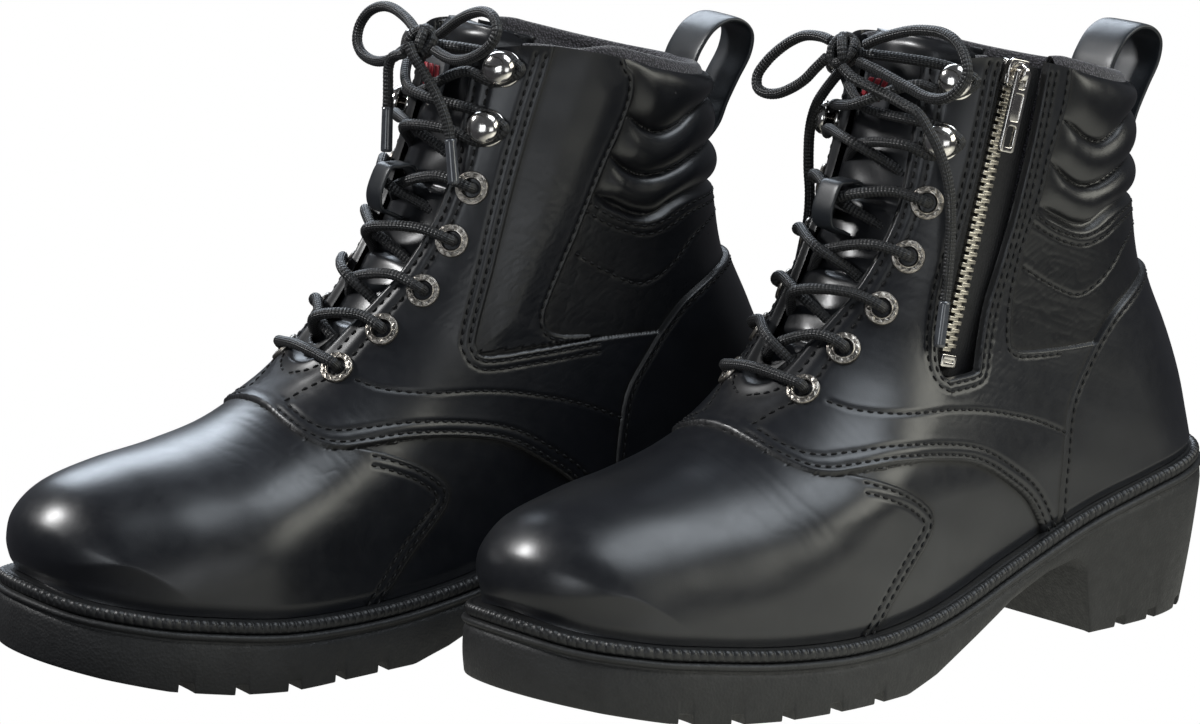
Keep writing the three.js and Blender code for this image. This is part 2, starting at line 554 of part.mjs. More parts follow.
// Free stretches of the lace, as [x, f, z]: the bow's two loops and the two ends of each boot.
const BOWS = {
  right: {
    loop_inner: [[1.2, 136.8, 206.2], [6, 136.2, 208.6], [13, 135.5, 211], [20, 135, 213], [27, 134.5, 214.2],
      [37, 134.5, 214.5], [45, 135.5, 212.5], [51, 137, 208], [53, 138, 203], [50, 139.5, 197.5], [44, 140.3, 194.3],
      [36, 140.3, 193.8], [28, 140, 195.3], [20, 139.8, 197], [12, 139.6, 198.8], [6, 139.6, 200], [1.2, 139.6, 200.8]],
    loop_outer: [[-15.1, 138, 205.6], [-20, 137.5, 206.2], [-29, 137.2, 205.6], [-35, 137.5, 203.4], [-41, 138.2, 199.8],
      [-46.5, 139.4, 195], [-50, 140.8, 189.6], [-48.8, 141.8, 186], [-44.5, 142.2, 184.6], [-38, 142, 185.2],
      [-31, 141.5, 188], [-25, 141, 191.6], [-20, 140.6, 196], [-15.1, 140, 200.2]],
    end_inner: [[-1.6, 144.4, 199], [3.6, 144.4, 196.4], [9, 142.2, 194], [15, 139.2, 191.4], [21, 137.2, 189],
      [26, 135.4, 186.6], [30, 133.9, 181.2], [32.8, 132.4, 175.4], [34.8, 131, 169], [36, 130, 162],
      [36.2, 129.4, 155], [36, 129.2, 148], [36, 129.6, 141], [36.4, 130.6, 134], [37, 132, 127], [37.8, 133.8, 120]],
    end_outer: [[-11.4, 134.6, 198.6], [-14.4, 134, 195.6], [-18.6, 133.6, 192], [-23.4, 133.2, 187.6], [-28, 132.8, 182.6],
      [-31.6, 132, 177], [-34.2, 131, 171], [-35.8, 130, 164.4], [-36.4, 129.4, 157.6], [-36.2, 129, 151],
      [-36.2, 129.2, 144.4], [-36.4, 130, 138], [-36.8, 131.2, 131.6]],
  },
  left: {
    loop_inner: [[1.2, 137.2, 206], [7, 136.2, 208], [14, 135.6, 209.8], [20, 135.4, 210.8], [26, 135.5, 210.8],
      [32, 136, 209.4], [37, 136.7, 206.6], [40.2, 137.8, 202], [39.6, 139, 197.6], [36, 139.8, 194.6], [30, 140.3, 193],
      [23, 140.6, 192.8], [16, 140.6, 194], [10, 140.4, 196.2], [5.4, 140, 198.8], [1.2, 139.6, 200.8]],
    loop_outer: [[-15.1, 137, 207], [-20, 136, 210.2], [-26, 135.2, 213.6], [-33, 134.4, 216.4], [-40, 133.8, 217.8],
      [-47, 134.2, 216.8], [-51, 135.2, 213], [-50, 136.6, 209], [-45.6, 137.6, 205.6], [-40, 138.3, 203],
      [-34, 138.7, 201.2], [-28, 138.9, 200.4], [-21, 139, 200.8], [-15.1, 138.9, 201.8]],
    end_inner: [[-2.6, 144.4, 199.2], [1.6, 143, 198.4], [6, 143.6, 196.8], [8, 144, 193], [7.6, 144.4, 188.6],
      [7, 144.8, 184], [6.6, 145.2, 179.6], [6.2, 145.6, 175]],
    end_outer: [[-9.8, 146, 204], [-12, 145.4, 200], [-14.8, 143.4, 195.4], [-18, 141.6, 190.2], [-21, 140.2, 184.8],
      [-23.4, 139.2, 179.4], [-25, 138.8, 174], [-26.4, 139, 168.4]],
  },
};
const KNOT = { x: -7, f: 138.6, z: 203.4, half: [7.6, 5, 5.2] };

// A curve that is stepped from one of its points to the next, instead of by equal lengths.
class PointByPoint extends THREE.CatmullRomCurve3 {
  getPointAt(t) { return this.getPoint(t); }
  getTangentAt(t) { return this.getTangent(t); }
}

function tube(path, radius, steps, sides) {
  const section = new THREE.Shape();
  for (let i = 0; i < sides; i++) {
    const angle = 2 * Math.PI * i / sides;
    const [x, y] = [radius * Math.cos(angle), radius * Math.sin(angle)];
    if (i === 0) section.moveTo(x, y);
    else section.lineTo(x, y);
  }
  section.closePath();
  return solid(new THREE.ExtrudeGeometry(section, { steps, bevelEnabled: false, extrudePath: path }));
}

const FREE_STEP = 10; // about three diameters

function heldLace(radius, sides) {
  const knot = new THREE.Vector3(KNOT.x, -KNOT.f, KNOT.z);
  const points = [knot, ...laceHalf(-1, false).reverse(), onMiddle(0, 3.8), ...laceHalf(1, true), knot.clone()];
  return tube(new PointByPoint(points, false, 'centripetal'), radius, points.length - 1, sides);
}

function knotBall() {
  const ball = new THREE.SphereGeometry(1, 10, 6);
  ball.scale(...KNOT.half).translate(KNOT.x, -KNOT.f, KNOT.z);
  return solid(ball);
}

function freeLace(route) {
  const points = route.map(([x, f, z]) => new THREE.Vector3(x, -f, z));
  const path = new THREE.CatmullRomCurve3(points, false, 'centripetal');
  return tube(path, LACE_RADIUS, Math.ceil(path.getLength() / FREE_STEP), 8);
}

// ---------------------------------------------------------------- tongue, badge, keeper and pull loop

function tongue() {
  const pad = layer(TONGUE_PAD).intersect(sidePrism(tongueOutline, -8.5, 8.5));
  return layer(TONGUE).intersect(sidePrism(tongueOutline, -34, 34)).add(pad)
    .intersect(sidePrism([[90, 40], [90, 207], [150, 207], [230, 120], [230, 40]]));
}

// An outline in the middle plane from [row, distance out] pairs along the front line.
const ridgeOutline = (pairs) => pairs.map(([row, distance]) => {
  const point = onMiddle(row, distance);
  return [-point.y, point.z];
});

const BADGE = { low: 5.2, high: 5.98, half: 7, foot: -1.6, face: -0.4 };

function tongueBadge() {
  const { low, high, half, foot, face } = BADGE;
  return sidePrism(ridgeOutline([[low, foot], [high, foot], [high, face], [low, face]]), -half, half);
}

const KEEPER = { low: 3.05, high: 4.05, half: 5, thick: 1.2, foot: -1.2, reach: 8.8 };

function laceKeeper() {
  const { low, high, half, thick, foot, reach } = KEEPER;
  const wall = 0.07;
  const profile = [[low, foot], [low, reach - 1.5], [low + 0.12, reach], [high - 0.12, reach], [high, reach - 1.5],
    [high, foot], [high - wall, foot], [high - wall, reach - thick - 1], [high - 0.16, reach - thick],
    [low + 0.16, reach - thick], [low + wall, reach - thick - 1], [low + wall, foot]];
  return sidePrism(ridgeOutline(profile), -half, half);
}

const PULL_LOOP = { half: 10, thick: 2 };
const PULL_PATH = [[34.5, 187.3], [32, 192.5], [27, 198.8], [20.5, 202.2], [14, 201], [10.6, 196], [12, 189],
  [17, 181], [21.4, 173], [23.6, 164]];

function pullLoop() {
  const path = spaced(PULL_PATH, 20);
  const edge = (amount) => path.map((point, i) => {
    const before = path[Math.max(i - 1, 0)];
    const after = path[Math.min(i + 1, path.length - 1)];
    const along2 = after.clone().sub(before).normalize();
    return [point.x - along2.y * amount, point.y + along2.x * amount];
  });
  const outline = [...edge(PULL_LOOP.thick / 2), ...edge(-PULL_LOOP.thick / 2).reverse()];
  return sidePrism(outline, -PULL_LOOP.half, PULL_LOOP.half);
}

function lining() {
  const sleeve = layer(LINING).intersect(sidePrism(liningOutline)).intersect(upperSpace()).intersect(underTop(1));
  return sleeve.subtract(zipOpening(5));
}

// ---------------------------------------------------------------- assembly

const laceWay = heldLace(LACE_RADIUS + 0.7, 5);
const clearOfLace = (piece) => piece.subtract(laceWay);
const clearOfZip = (piece) => piece.subtract(zipRoom());
// The piece without any slivers that the cuts above have left loose.
const whole = (piece) => piece.decompose().sort((a, b) => b.volume() - a.volume())[0].simplify(0.1);

const PIECES = {
  outsole: [outsole(), rubber],
  welt: [welt(), rubber],
  insole_board: [insoleBoard(), board],
  footbed: [footbed(), textile],
  toe_cap: [toeCap(), steel],
  heel_counter: [heelCounter(), board],
  vamp: [vamp(), leather],
  side_panel_inner: [sidePanel(inner), leather],
  side_panel_outer: [sidePanel(outer), leather],
  quarter_inner: [clearOfZip(clearOfLace(quarter(inner).subtract(zipOpening(0)).subtract(eyeletHoles(1)))), leather],
  quarter_outer: [clearOfLace(quarter(outer).subtract(eyeletHoles(-1))), leather],
  zip_facing: [clearOfZip(zipFacing()), leather],
  shaft_panel: [shaftPanel(), leather],
  heel_cover: [heelCover(), leather],
  collar: [collar(), leather],
  lining: [clearOfZip(clearOfLace(lining())), textile],
  tongue: [clearOfLace(tongue()), leather],
  tongue_badge: [clearOfLace(tongueBadge()), badge],
  lace_keeper: [laceKeeper(), leather],
  eyelet_stay_inner: [clearOfLace(eyeletStay(1)), nickel],
  eyelet_stay_outer: [clearOfLace(eyeletStay(-1)), nickel],
  pull_loop: [pullLoop(), leather],
  zip_chain: [zipChain(), nickel],
  zip_slider: [zipSlider(), nickel],
  zip_pull: [zipPull(), nickel],
  lace: [heldLace(LACE_RADIUS, 6).add(knotBall()), lace],
};

function boot(side) {
  const group = new THREE.Group();
  group.name = `${side}_boot`;
  const place = (name, piece, material) => {
    const mesh = new THREE.Mesh(geometryOf(piece), new THREE.MeshStandardMaterial(material));
    mesh.name = `${side}_${name}`;
    group.add(mesh);
  };
  for (const [name, [piece, material]] of Object.entries(PIECES)) place(name, whole(piece), material);
  for (const [name, route] of Object.entries(BOWS[side])) place(`lace_${name}`, freeLace(route), lace);
  return group;
}

const right = boot('right');
const left = boot('left');
left.scale.x = -1;
left.rotation.z = THREE.MathUtils.degToRad(LEFT_PLACE.yaw);
left.position.set(LEFT_PLACE.x, LEFT_PLACE.y, 0);

const pair = new THREE.Group();
pair.name = 'pair';
pair.add(right, left);
pair.position.set(PAIR_SHIFT.x, PAIR_SHIFT.y, 0);
pair.updateMatrixWorld(true);

export default pair;
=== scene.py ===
"""A pair of black leather lace-up boots: an ankle-high upper with a zip on the inner side, a padded
collar, laces tied in a bow, a ribbed welt and a lugged rubber sole with a block heel.

Shapes are worked out in millimetres in a boot's own frame: x is across (the inner side is positive),
y = -f, where f is the distance forward from the back of the heel, and z is height. Each piece is
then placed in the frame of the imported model, once for the right boot and mirrored for the left."""
import math

import bmesh
import bpy
import numpy as np
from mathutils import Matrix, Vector


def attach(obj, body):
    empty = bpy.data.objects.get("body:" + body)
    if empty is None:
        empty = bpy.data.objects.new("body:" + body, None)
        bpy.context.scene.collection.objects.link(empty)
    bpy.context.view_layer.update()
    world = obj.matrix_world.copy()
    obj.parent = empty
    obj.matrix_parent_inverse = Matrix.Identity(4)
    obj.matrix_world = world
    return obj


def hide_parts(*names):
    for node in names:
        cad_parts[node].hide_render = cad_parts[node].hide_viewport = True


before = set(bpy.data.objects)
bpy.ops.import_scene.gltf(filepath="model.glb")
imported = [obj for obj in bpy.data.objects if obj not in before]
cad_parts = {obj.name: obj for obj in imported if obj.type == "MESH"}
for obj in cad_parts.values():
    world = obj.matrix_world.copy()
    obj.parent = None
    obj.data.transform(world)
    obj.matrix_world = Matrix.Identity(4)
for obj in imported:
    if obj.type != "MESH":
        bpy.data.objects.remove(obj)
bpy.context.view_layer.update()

# ------------------------------------------------------------------ where the boots stand

MM = 0.001
PAIR_SHIFT = np.array([60.96, 190.42, 0.0])
LEFT_PLACE = np.array([-95.7, -99.6, 0.0])
LEFT_YAW = math.radians(-7.9)
BOOTS = ("right", "left")


def placed(points, boot):
    """Points of a boot's own frame, in millimetres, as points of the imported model's frame, in metres."""
    p = np.array(points, float).reshape(-1, 3)
    if boot == "left":
        c, s = math.cos(LEFT_YAW), math.sin(LEFT_YAW)
        x, y = -p[:, 0], p[:, 1]
        p = np.stack([x * c - y * s, x * s + y * c, p[:, 2]], 1) + LEFT_PLACE
    return (p + PAIR_SHIFT) * MM


def unit(v):
    """The same directions with a length of 1."""
    return v / np.maximum(np.linalg.norm(v, axis=-1, keepdims=True), 1e-9)


def detail(full):
    return full


# ------------------------------------------------------------------ the shape of the upper

RIDGE = [(286, 37), (288, 46), (284.5, 57), (273, 66.5), (252, 72), (229, 75.5), (208, 81.5), (190, 92),
         (174, 107.5), (160, 125), (149, 143.5), (141, 162), (134, 181), (128, 201)]
BACK = [(-2, 57), (1, 70), (6, 86), (14, 104), (22, 122), (26, 140), (28, 158), (29, 174), (30, 186)]
FEATHER = [(286, 37), (277, 33.5), (262, 30.4), (250, 28.3), (225, 24.8), (205, 23), (185, 22.2),
           (165, 22.6), (145, 25), (130, 28.3), (115, 32.5), (100, 36.7), (70, 45), (40, 52), (20, 55),
           (-2, 57)]
TOPLINE = [(128, 201), (112, 204), (92, 201), (72, 195), (54, 190), (40, 187), (30, 186)]

WIDTH_F = [-2, 20, 40, 70, 100, 130, 160, 190, 215, 240, 262, 275, 288]
WIDTH_INNER = [30, 32, 34.5, 36, 40, 45.5, 51, 54, 51.5, 46.5, 42, 39.5, 37]
WIDTH_OUTER = [30, 32, 33, 33.5, 33.5, 35, 38, 44, 48.5, 46.5, 42, 39.5, 37]
SHAFT_Z = [60, 100, 130, 160, 190, 210]
SHAFT_WIDTH = [33, 34.5, 35, 37, 39.5, 41]
SHAFT_BLEND = (60, 120)
FRONT_ROUND = ([30, 80, 120, 160, 210], [40, 40, 44, 46, 44])
BACK_ROUND = ([50, 90, 130, 200], [34, 36, 42, 44])
ROUND_POWER = 2.1
SLOPE_STEP = 0.4


def smoothstep(low, high, value):
    t = np.clip((value - low) / (high - low), 0, 1)
    return t * t * (3 - 2 * t)


def table(value, at, out):
    """A smooth curve through a table of sizes."""
    at, out = np.array(at, float), np.array(out, float)
    slope = np.gradient(out, at)
    value = np.clip(value, at[0], at[-1])
    i = np.clip(np.searchsorted(at, value) - 1, 0, len(at) - 2)
    gap = at[i + 1] - at[i]
    t = (value - at[i]) / gap
    low = (1 + 2 * t) * (1 - t) ** 2 * out[i] + t * (1 - t) ** 2 * gap * slope[i]
    return low + t * t * (3 - 2 * t) * out[i + 1] - t * t * (1 - t) * gap * slope[i + 1]


def spline(points, count):
    """Evenly spaced points on a smooth curve through the given ones."""
    p = np.array(points, float)
    fine = []
    for i in range(len(p) - 1):
        a, b, c, d = p[max(i - 1, 0)], p[i], p[i + 1], p[min(i + 2, len(p) - 1)]
        t = np.linspace(0, 1, 24, endpoint=False)[:, None]
        u, v = (c - a) * 0.5, (d - b) * 0.5
        fine.append((2 * b - 2 * c + u + v) * t**3 + (3 * c - 3 * b - 2 * u - v) * t**2 + u * t + b)
    return evenly(np.concatenate(fine + [p[-1:]]), count)


def evenly(line, count):
    """The line again, as evenly spaced points."""
    along = np.concatenate([[0], np.cumsum(np.linalg.norm(np.diff(line, axis=0), axis=1))])
    at = np.linspace(0, along[-1], count)
    return np.stack([np.interp(at, along, line[:, i]) for i in range(line.shape[1])], 1)


def length_of(line):
    return float(np.linalg.norm(np.diff(line, axis=0), axis=1).sum())


def nearest(line, f, z, reach=None):
    """Distance from each place to a line in side view, and the nearest point on it."""
    f, z = np.asarray(f, float), np.asarray(z, float)
    shape = f.shape
    f, z = f.ravel(), z.ravel()
    best = np.full(f.size, 1e6 if reach is None else float(reach))
    spot = np.stack([f, z], 1)
    if reach is None:
        pick = np.arange(f.size)
    else:
        low, high = line.min(0) - reach, line.max(0) + reach
        pick = np.nonzero((f > low[0]) & (f < high[0]) & (z > low[1]) & (z < high[1]))[0]
    pf, pz = f[pick], z[pick]
    b, s = best[pick], spot[pick]
    for (af, az), (cf, cz) in zip(line[:-1], line[1:]):
        df, dz = cf - af, cz - az
        t = np.clip(((pf - af) * df + (pz - az) * dz) / (df * df + dz * dz), 0, 1)
        qf, qz = af + t * df, az + t * dz
        d = np.hypot(pf - qf, pz - qz)
        closer = d < b
        b = np.where(closer, d, b)
        s[closer] = np.stack([qf, qz], 1)[closer]
    best[pick], spot[pick] = b, s
    return best.reshape(shape), spot.reshape(shape + (2,))


def distance(line, f, z, reach=None):
    """Distance from each place to a line in side view, and no more than the reach."""
    return nearest(line, f, z, reach)[0]


def inside(outline, f, z):
    """Which places lie inside a closed outline in side view."""
    hit = np.zeros(np.shape(f), bool)
    for (f0, z0), (f1, z1) in zip(outline, np.roll(outline, -1, axis=0)):
        if z0 != z1:
            hit ^= ((z0 > z) != (z1 > z)) & (f < (f1 - f0) * (z - z0) / (z1 - z0) + f0)
    return hit


RIDGE_LINE = spline(RIDGE, 200)
BACK_LINE = spline(BACK, 100)


def rounding(gap, reach):
    """The share of the full width at a distance from an edge line: 0 on it, 1 at the reach."""
    t = np.clip(gap / reach, 0, 1)
    return (1 - (1 - t) ** ROUND_POWER) ** (1 / ROUND_POWER)


def across(f, z, side):
    """Distance across from the middle plane to the leather; side is 1 for inner and -1 for outer."""
    f, z = np.asarray(f, float), np.asarray(z, float)
    low = np.where(np.asarray(side) > 0, table(f, WIDTH_F, WIDTH_INNER), table(f, WIDTH_F, WIDTH_OUTER))
    width = low + (table(z, SHAFT_Z, SHAFT_WIDTH) - low) * smoothstep(*SHAFT_BLEND, z)
    front = rounding(distance(RIDGE_LINE, f, z), table(z, *FRONT_ROUND))
    back = rounding(distance(BACK_LINE, f, z), table(z, *BACK_ROUND))
    return side * width * front * back


def on_skin(f, z, side, out=0.0):
    """Points at a distance out from the leather, and the outward directions there."""
    f, z = np.atleast_1d(np.asarray(f, float)), np.atleast_1d(np.asarray(z, float))
    h = SLOPE_STEP
    x = across(f, z, side)
    slope_f = (across(f + h, z, side) - across(f - h, z, side)) / (2 * h)
    slope_z = (across(f, z + h, side) - across(f, z - h, side)) / (2 * h)
    normal = unit(np.stack([np.ones_like(x), slope_f, -slope_z], 1) * side)
    return np.stack([x, -f, z], 1) + normal * np.reshape(out, (-1, 1)), normal


def coons(ridge, back, feather, topline, u, v):
    """Side-view places: u runs from the front line to the back line, v from bottom to top."""
    def along(line, t):
        at = np.linspace(0, 1, len(line))
        return np.stack([np.interp(t, at, line[:, 0]), np.interp(t, at, line[:, 1])], -1)

    u, v = np.meshgrid(u, v)
    w, t = u[..., None], v[..., None]
    edges = along(ridge, v) * (1 - w) + along(back, v) * w
    ends = along(feather, u) * (1 - t) + along(topline, u) * t
    corners = (ridge[0] * (1 - w) + back[0] * w) * (1 - t) + (ridge[-1] * (1 - w) + back[-1] * w) * t
    return edges + ends - corners


def end_spaced(count, ends=0.12):
    """Shares from 0 to 1, even in the middle and closing up towards both ends."""
    s = np.linspace(0, 1, count)
    near = np.minimum(s, 1 - s)
    rise = np.where(near < ends, near ** 2 / (2 * ends), near - ends / 2) / (1 - ends)
    return np.where(s < 0.5, rise, 1 - rise)


def grid_quads(rows, columns, closed=False):
    """Quads over a grid of points; closed joins the last column to the first."""
    j, k = np.meshgrid(np.arange(rows - 1), np.arange(columns if closed else columns - 1), indexing="ij")
    ahead = (k + 1) % columns
    low, high = j * columns, (j + 1) * columns
    return np.stack([low + k, low + ahead, high + ahead, high + k], -1).reshape(-1, 4)


SNAP_REACH = 2.5


class Skin:
    """A grid of places round the upper: columns run from the front line along the inner side to the
    back line and home along the outer side, rows run from the welt to the top edge."""

    def __init__(self, half_columns, rows):
        u = end_spaced(half_columns + 1)
        rows = np.linspace(0, 1, rows + 1)
        grid = coons(RIDGE_LINE, BACK_LINE, spline(FEATHER, 300), spline(TOPLINE, 300), u, rows)
        self.half = half_columns
        columns = list(range(half_columns + 1)) + list(range(half_columns - 1, 0, -1))
        self.f, self.z = grid[:, columns, 0].copy(), grid[:, columns, 1].copy()
        self.side = np.ones_like(self.f)
        self.side[:, half_columns + 1:] = -1
        self.on = np.zeros(self.f.shape, int)
        p = self.points()
        self.outward = unit(np.cross(np.roll(p, -1, axis=1) - np.roll(p, 1, axis=1), np.gradient(p, axis=0)))

    def snap(self, lines):
        """Moves the nearest places onto the given lines, so that edges come out clean."""
        fixed = np.zeros_like(self.f, bool)
        fixed[:, [0, self.half]] = True
        fixed[[0, -1], :] = True
        for number, (line, side) in enumerate(lines, 1):
            gap, spot = nearest(line, self.f, self.z, SNAP_REACH)
            way = unit(np.stack([self.f, self.z], -1) - spot)
            reach = 0
            for axis in (0, 1):
                step = np.stack([np.gradient(self.f, axis=axis), np.gradient(self.z, axis=axis)], -1)
                reach = np.maximum(reach, np.abs((way * step).sum(-1)) * 0.5)
            move = (gap < reach * 1.02) & ~fixed & ((self.side == side) | (side == 0))
            self.f[move], self.z[move] = spot[move][:, 0], spot[move][:, 1]
            self.on[move] = number

    def faces(self):
        """The grid's quads, and triangles where a snapped line runs across a quad's corners."""
        quads = self.quads()
        a, b, c, d = self.on.ravel()[quads].T
        one = (a > 0) & (a == c) & (b != a) & (d != a)
        other = (b > 0) & (b == d) & (a != b) & (c != b)
        cuts = ((one, [0, 1, 2]), (one, [0, 2, 3]), (other, [1, 2, 3]), (other, [1, 3, 0]))
        return quads[~one & ~other], np.concatenate([quads[pick][:, corners] for pick, corners in cuts])

    def points(self):
        """The grid's places as points on the plain surface."""
        x = across(self.f, self.z, self.side)
        x[:, [0, self.half]] = 0
        return np.stack([x, -self.f, self.z], -1)

    def quads(self):
        """The grid's quads, before any are cut."""
        return grid_quads(*self.f.shape, closed=True)


# ------------------------------------------------------------------ seams, in side view

FACING = spline([(198.8, 90), (190, 95), (180, 101), (165, 115.5), (152, 130), (142, 145.6), (136, 160),
                 (129.6, 182.5), (124.3, 205)], 90)
QUARTER_LOW = spline([(198.8, 90), (200.2, 86), (197.5, 80), (192, 75.8), (185, 74.4), (176.6, 74.8),
                      (160, 75.5), (141, 73.5), (123, 69.2), (108, 60.8), (95.5, 51), (86, 36)], 110)
VAMP_EDGE = spline([(179, 75), (169, 71.7), (156, 65.6), (146.9, 58.4), (146, 52.5), (150, 47), (160, 37.4),
                    (169, 27.4), (180, 14)], 80)
HEEL_EDGE = spline([(81.5, 36), (81, 50), (78.6, 71), (75.6, 83.6), (67.8, 96), (62, 104), (54, 112),
                    (42, 118), (30, 121.5), (12, 124)], 90)
ZIP_FRONT = spline([(105.4, 210), (106.2, 201), (113.6, 168), (122, 142), (128.6, 124), (133.4, 106),
                    (133, 100.4), (131, 99)], 80)
ZIP_REAR = spline([(131, 99), (118.8, 99.6), (117.4, 102.4), (111.5, 122), (105, 139.5), (97.6, 167),
                   (92.8, 192), (91, 210)], 80)
STRIP_REAR = spline([(79.5, 210), (80.4, 192), (82, 183), (87, 168), (90, 155), (94, 144), (99, 127),
                     (101.6, 109), (99.5, 104.4), (93, 103), (80, 102.2), (60, 102)], 90)
OVERLAY_REAR = spline([(80.2, 210), (79.7, 197), (76.2, 191.5), (77.7, 179.6), (87.5, 158), (96.5, 136.8),
                       (105.9, 117), (107.8, 110.4), (106, 106.4), (101, 104.4), (90, 103.4)], 90)
OVERLAY_FRONT = spline([(104.4, 210), (105.2, 200), (110.7, 181.6), (118.8, 154.8), (126.3, 129.5),
                        (133.6, 108.4), (134, 103.4), (130, 100.6), (111, 100.9), (86, 102), (60, 102)], 110)
ROLL_SEAMS = [spline(points, 60) for points in (
    [(90, 183), (81, 180), (72, 173.6), (65, 170.5), (56, 172), (47.6, 175.6), (36, 178), (20, 178)],
    [(90, 169.5), (84, 164.6), (75.5, 158), (67.7, 156), (58, 157.4), (46, 160.6), (33, 162.6), (20, 163)],
    [(96, 154.6), (90, 152), (80, 147), (71.4, 143.3), (65, 143.3), (56, 147), (42, 149), (20, 149.4)])]
QUILTING = spline([(95.4, 131.4), (83.6, 124.3), (71.6, 119), (63, 121), (54, 127), (47, 132.5), (34, 137),
                   (20, 138)], 60)
COLLAR_ROWS = [spline(points, 60) for points in (
    [(92, 149.6), (82, 143), (70, 138.8), (60, 140), (46, 144.4), (22, 145)],
    [(93, 146.4), (82, 140), (70, 135.8), (60, 137), (46, 141.4), (22, 142)])]
FROM_EYELET = spline([(173.6, 94.4), (167, 92), (152, 90), (135, 89), (121, 87), (106, 83.5), (91.5, 79),
                      (78, 73)], 80)
THROAT_LOW = spline([(183, 99), (186, 101.5), (190, 105)], 10)


def offset(line, amount):
    """The line moved sideways in side view: to its left for a positive amount."""
    step = unit(np.gradient(line, axis=0))
    return line + np.stack([-step[:, 1], step[:, 0]], 1) * amount


def outline(*parts):
    """One closed outline from lines and lists of places."""
    return np.concatenate([np.asarray(p, float).reshape(-1, 2) for p in parts])


VAMP = outline(VAMP_EDGE, [(330, 0), (330, 125), (190, 105)], THROAT_LOW[::-1], FACING[:25][::-1],
               QUARTER_LOW[:45])
QUARTER_INNER = outline(FACING, [(124, 230), (105, 230)], ZIP_FRONT, ZIP_REAR, [(91, 230), (79.5, 230)],
                        STRIP_REAR, [(60, 30)], QUARTER_LOW[::-1])
QUARTER_OUTER = outline(FACING, [(124, 230), (104, 230)], OVERLAY_FRONT, [(60, 30)], QUARTER_LOW[::-1])
ZIP_FACING = outline([(91, 230)], ZIP_REAR[::-1][:-18], [(116, 104.4), (101.6, 104.4)],
                     STRIP_REAR[:72][::-1], [(79.5, 230)])
OVERLAY = outline(OVERLAY_REAR, [(90, 90), (140, 90), (140, 230), (80, 230)])
HEEL_COVER = outline(HEEL_EDGE, [(-40, 124), (-40, 20), (82, 20)])
REAR_PANEL = outline([(-40, 102), (140, 102), (140, 230), (-40, 230)])
ZIP_OPENING = outline(ZIP_FRONT, ZIP_REAR)
THROAT = outline(FACING[20:], [(90, 205), (90, 230), (330, 230), (330, 110), (190, 105)], THROAT_LOW[::-1])
UNDER_ROLLS = outline(ROLL_SEAMS[-1], [(-40, 149), (-40, 60), (140, 60), (140, 154)])

# The number that stands for each panel, or for an opening.
OPEN, VAMP_NO, SIDE_NO, REAR_NO, OVERLAY_NO, QUARTER_NO, STRIP_NO, HEEL_NO = range(8)

# How far out each panel lies, from the lowest to the one sewn on last.
LEVEL = {"side": -0.5, "vamp": 0.1, "rear": 0.0, "overlay": 0.7, "quarter": 1.2, "heel": 1.9}
EDGE_WIDTH = 0.9
ROLL_HEIGHT = 4.3
ROLL_FLOOR = 2.4  # how far the seams between the rolls lie below the panels round them
CUT_DROP = 2.6  # how far the cut edges round the openings bend in


def stitch_rows():
    """Rows of stitching: the line, the side it is on, where 0 is both, and the panels that it is sewn on."""
    quarter = (QUARTER_NO, STRIP_NO)
    rows = [(offset(QUARTER_LOW, s)[5:], 0, quarter) for s in (-2.3, -5.6)]
    rows += [(offset(FACING, s)[2:-4], 0, quarter) for s in (2.0, 4.7)]
    rows += [(offset(VAMP_EDGE, s)[4:], 0, (VAMP_NO,)) for s in (1.9, 5.0)]
    rows += [(offset(HEEL_EDGE, 2.6)[2:-6], 0, (HEEL_NO,))]
    rows += [(offset(ZIP_FRONT, s)[6:], 1, quarter) for s in (2.0, 4.4)]
    rows += [(offset(ZIP_REAR, s)[:-8], 1, quarter) for s in (2.2, 4.6)]
    rows += [(offset(STRIP_REAR, 2.2)[8:-12], 1, quarter)]
    rows += [(offset(OVERLAY_FRONT, s)[6:-16], -1, quarter) for s in (2.2, 5.0)]
    rows += [(offset(OVERLAY_REAR, 2.0)[9:-8], -1, (OVERLAY_NO,))]
    rows += [(line, 0, (REAR_NO,)) for line in ROLL_SEAMS[:2] + [QUILTING] + COLLAR_ROWS]
    return rows + [(FROM_EYELET, 0, quarter)]


STITCH_ROWS = stitch_rows()


def waves(f, z, x):
    """Slow, shallow unevenness of hand-lasted leather."""
    a = np.sin(f * 0.071 + z * 0.043 + x * 0.023) * np.sin(z * 0.093 - f * 0.027 + x * 0.031 + 0.7)
    b = np.sin(f * 0.173 - z * 0.141 + x * 0.05) * np.sin(z * 0.187 + f * 0.059 + 2.2)
    return 0.22 * a + 0.09 * b


def cloud(f, z, cell, seed):
    """Smooth seeded noise over the side view, from 0 to 1."""
    values = np.random.default_rng(seed).random((64, 64))
    x, y = f / cell, z / cell
    i, j = np.floor(x).astype(int), np.floor(y).astype(int)
    s, t = smoothstep(0, 1, x - i), smoothstep(0, 1, y - j)
    low, high = [values[i % 64, (j + up) % 64] * (1 - s) + values[(i + 1) % 64, (j + up) % 64] * s
                 for up in (0, 1)]
    return low * (1 - t) + high * t


def creases(f, z, x):
    """Fine branching creases where the ankle bends, below the collar and beside the lacing."""
    ankle = np.exp(-((f - 100) / 42) ** 2 - ((z - 122) / 34) ** 2)
    flex = np.exp(-((f - 196) / 26) ** 2 - ((z - 74) / 20) ** 2)
    total = 0
    layers = ((0.35, 3.2, 0.12, ankle), (-0.5, 2.3, 0.08, ankle), (1.1, 3.4, 0.07, flex))
    for turn, cell, depth, where in layers:
        c, s = math.cos(turn), math.sin(turn)
        along, over = f * c + z * s, (z * c - f * s) * 3.0
        ridge = 1 - np.abs(2 * cloud(along + 0.4 * x, over + 0.3 * x, cell * 2, 7) - 1)
        total = total - depth * where * ridge ** 4
    return total


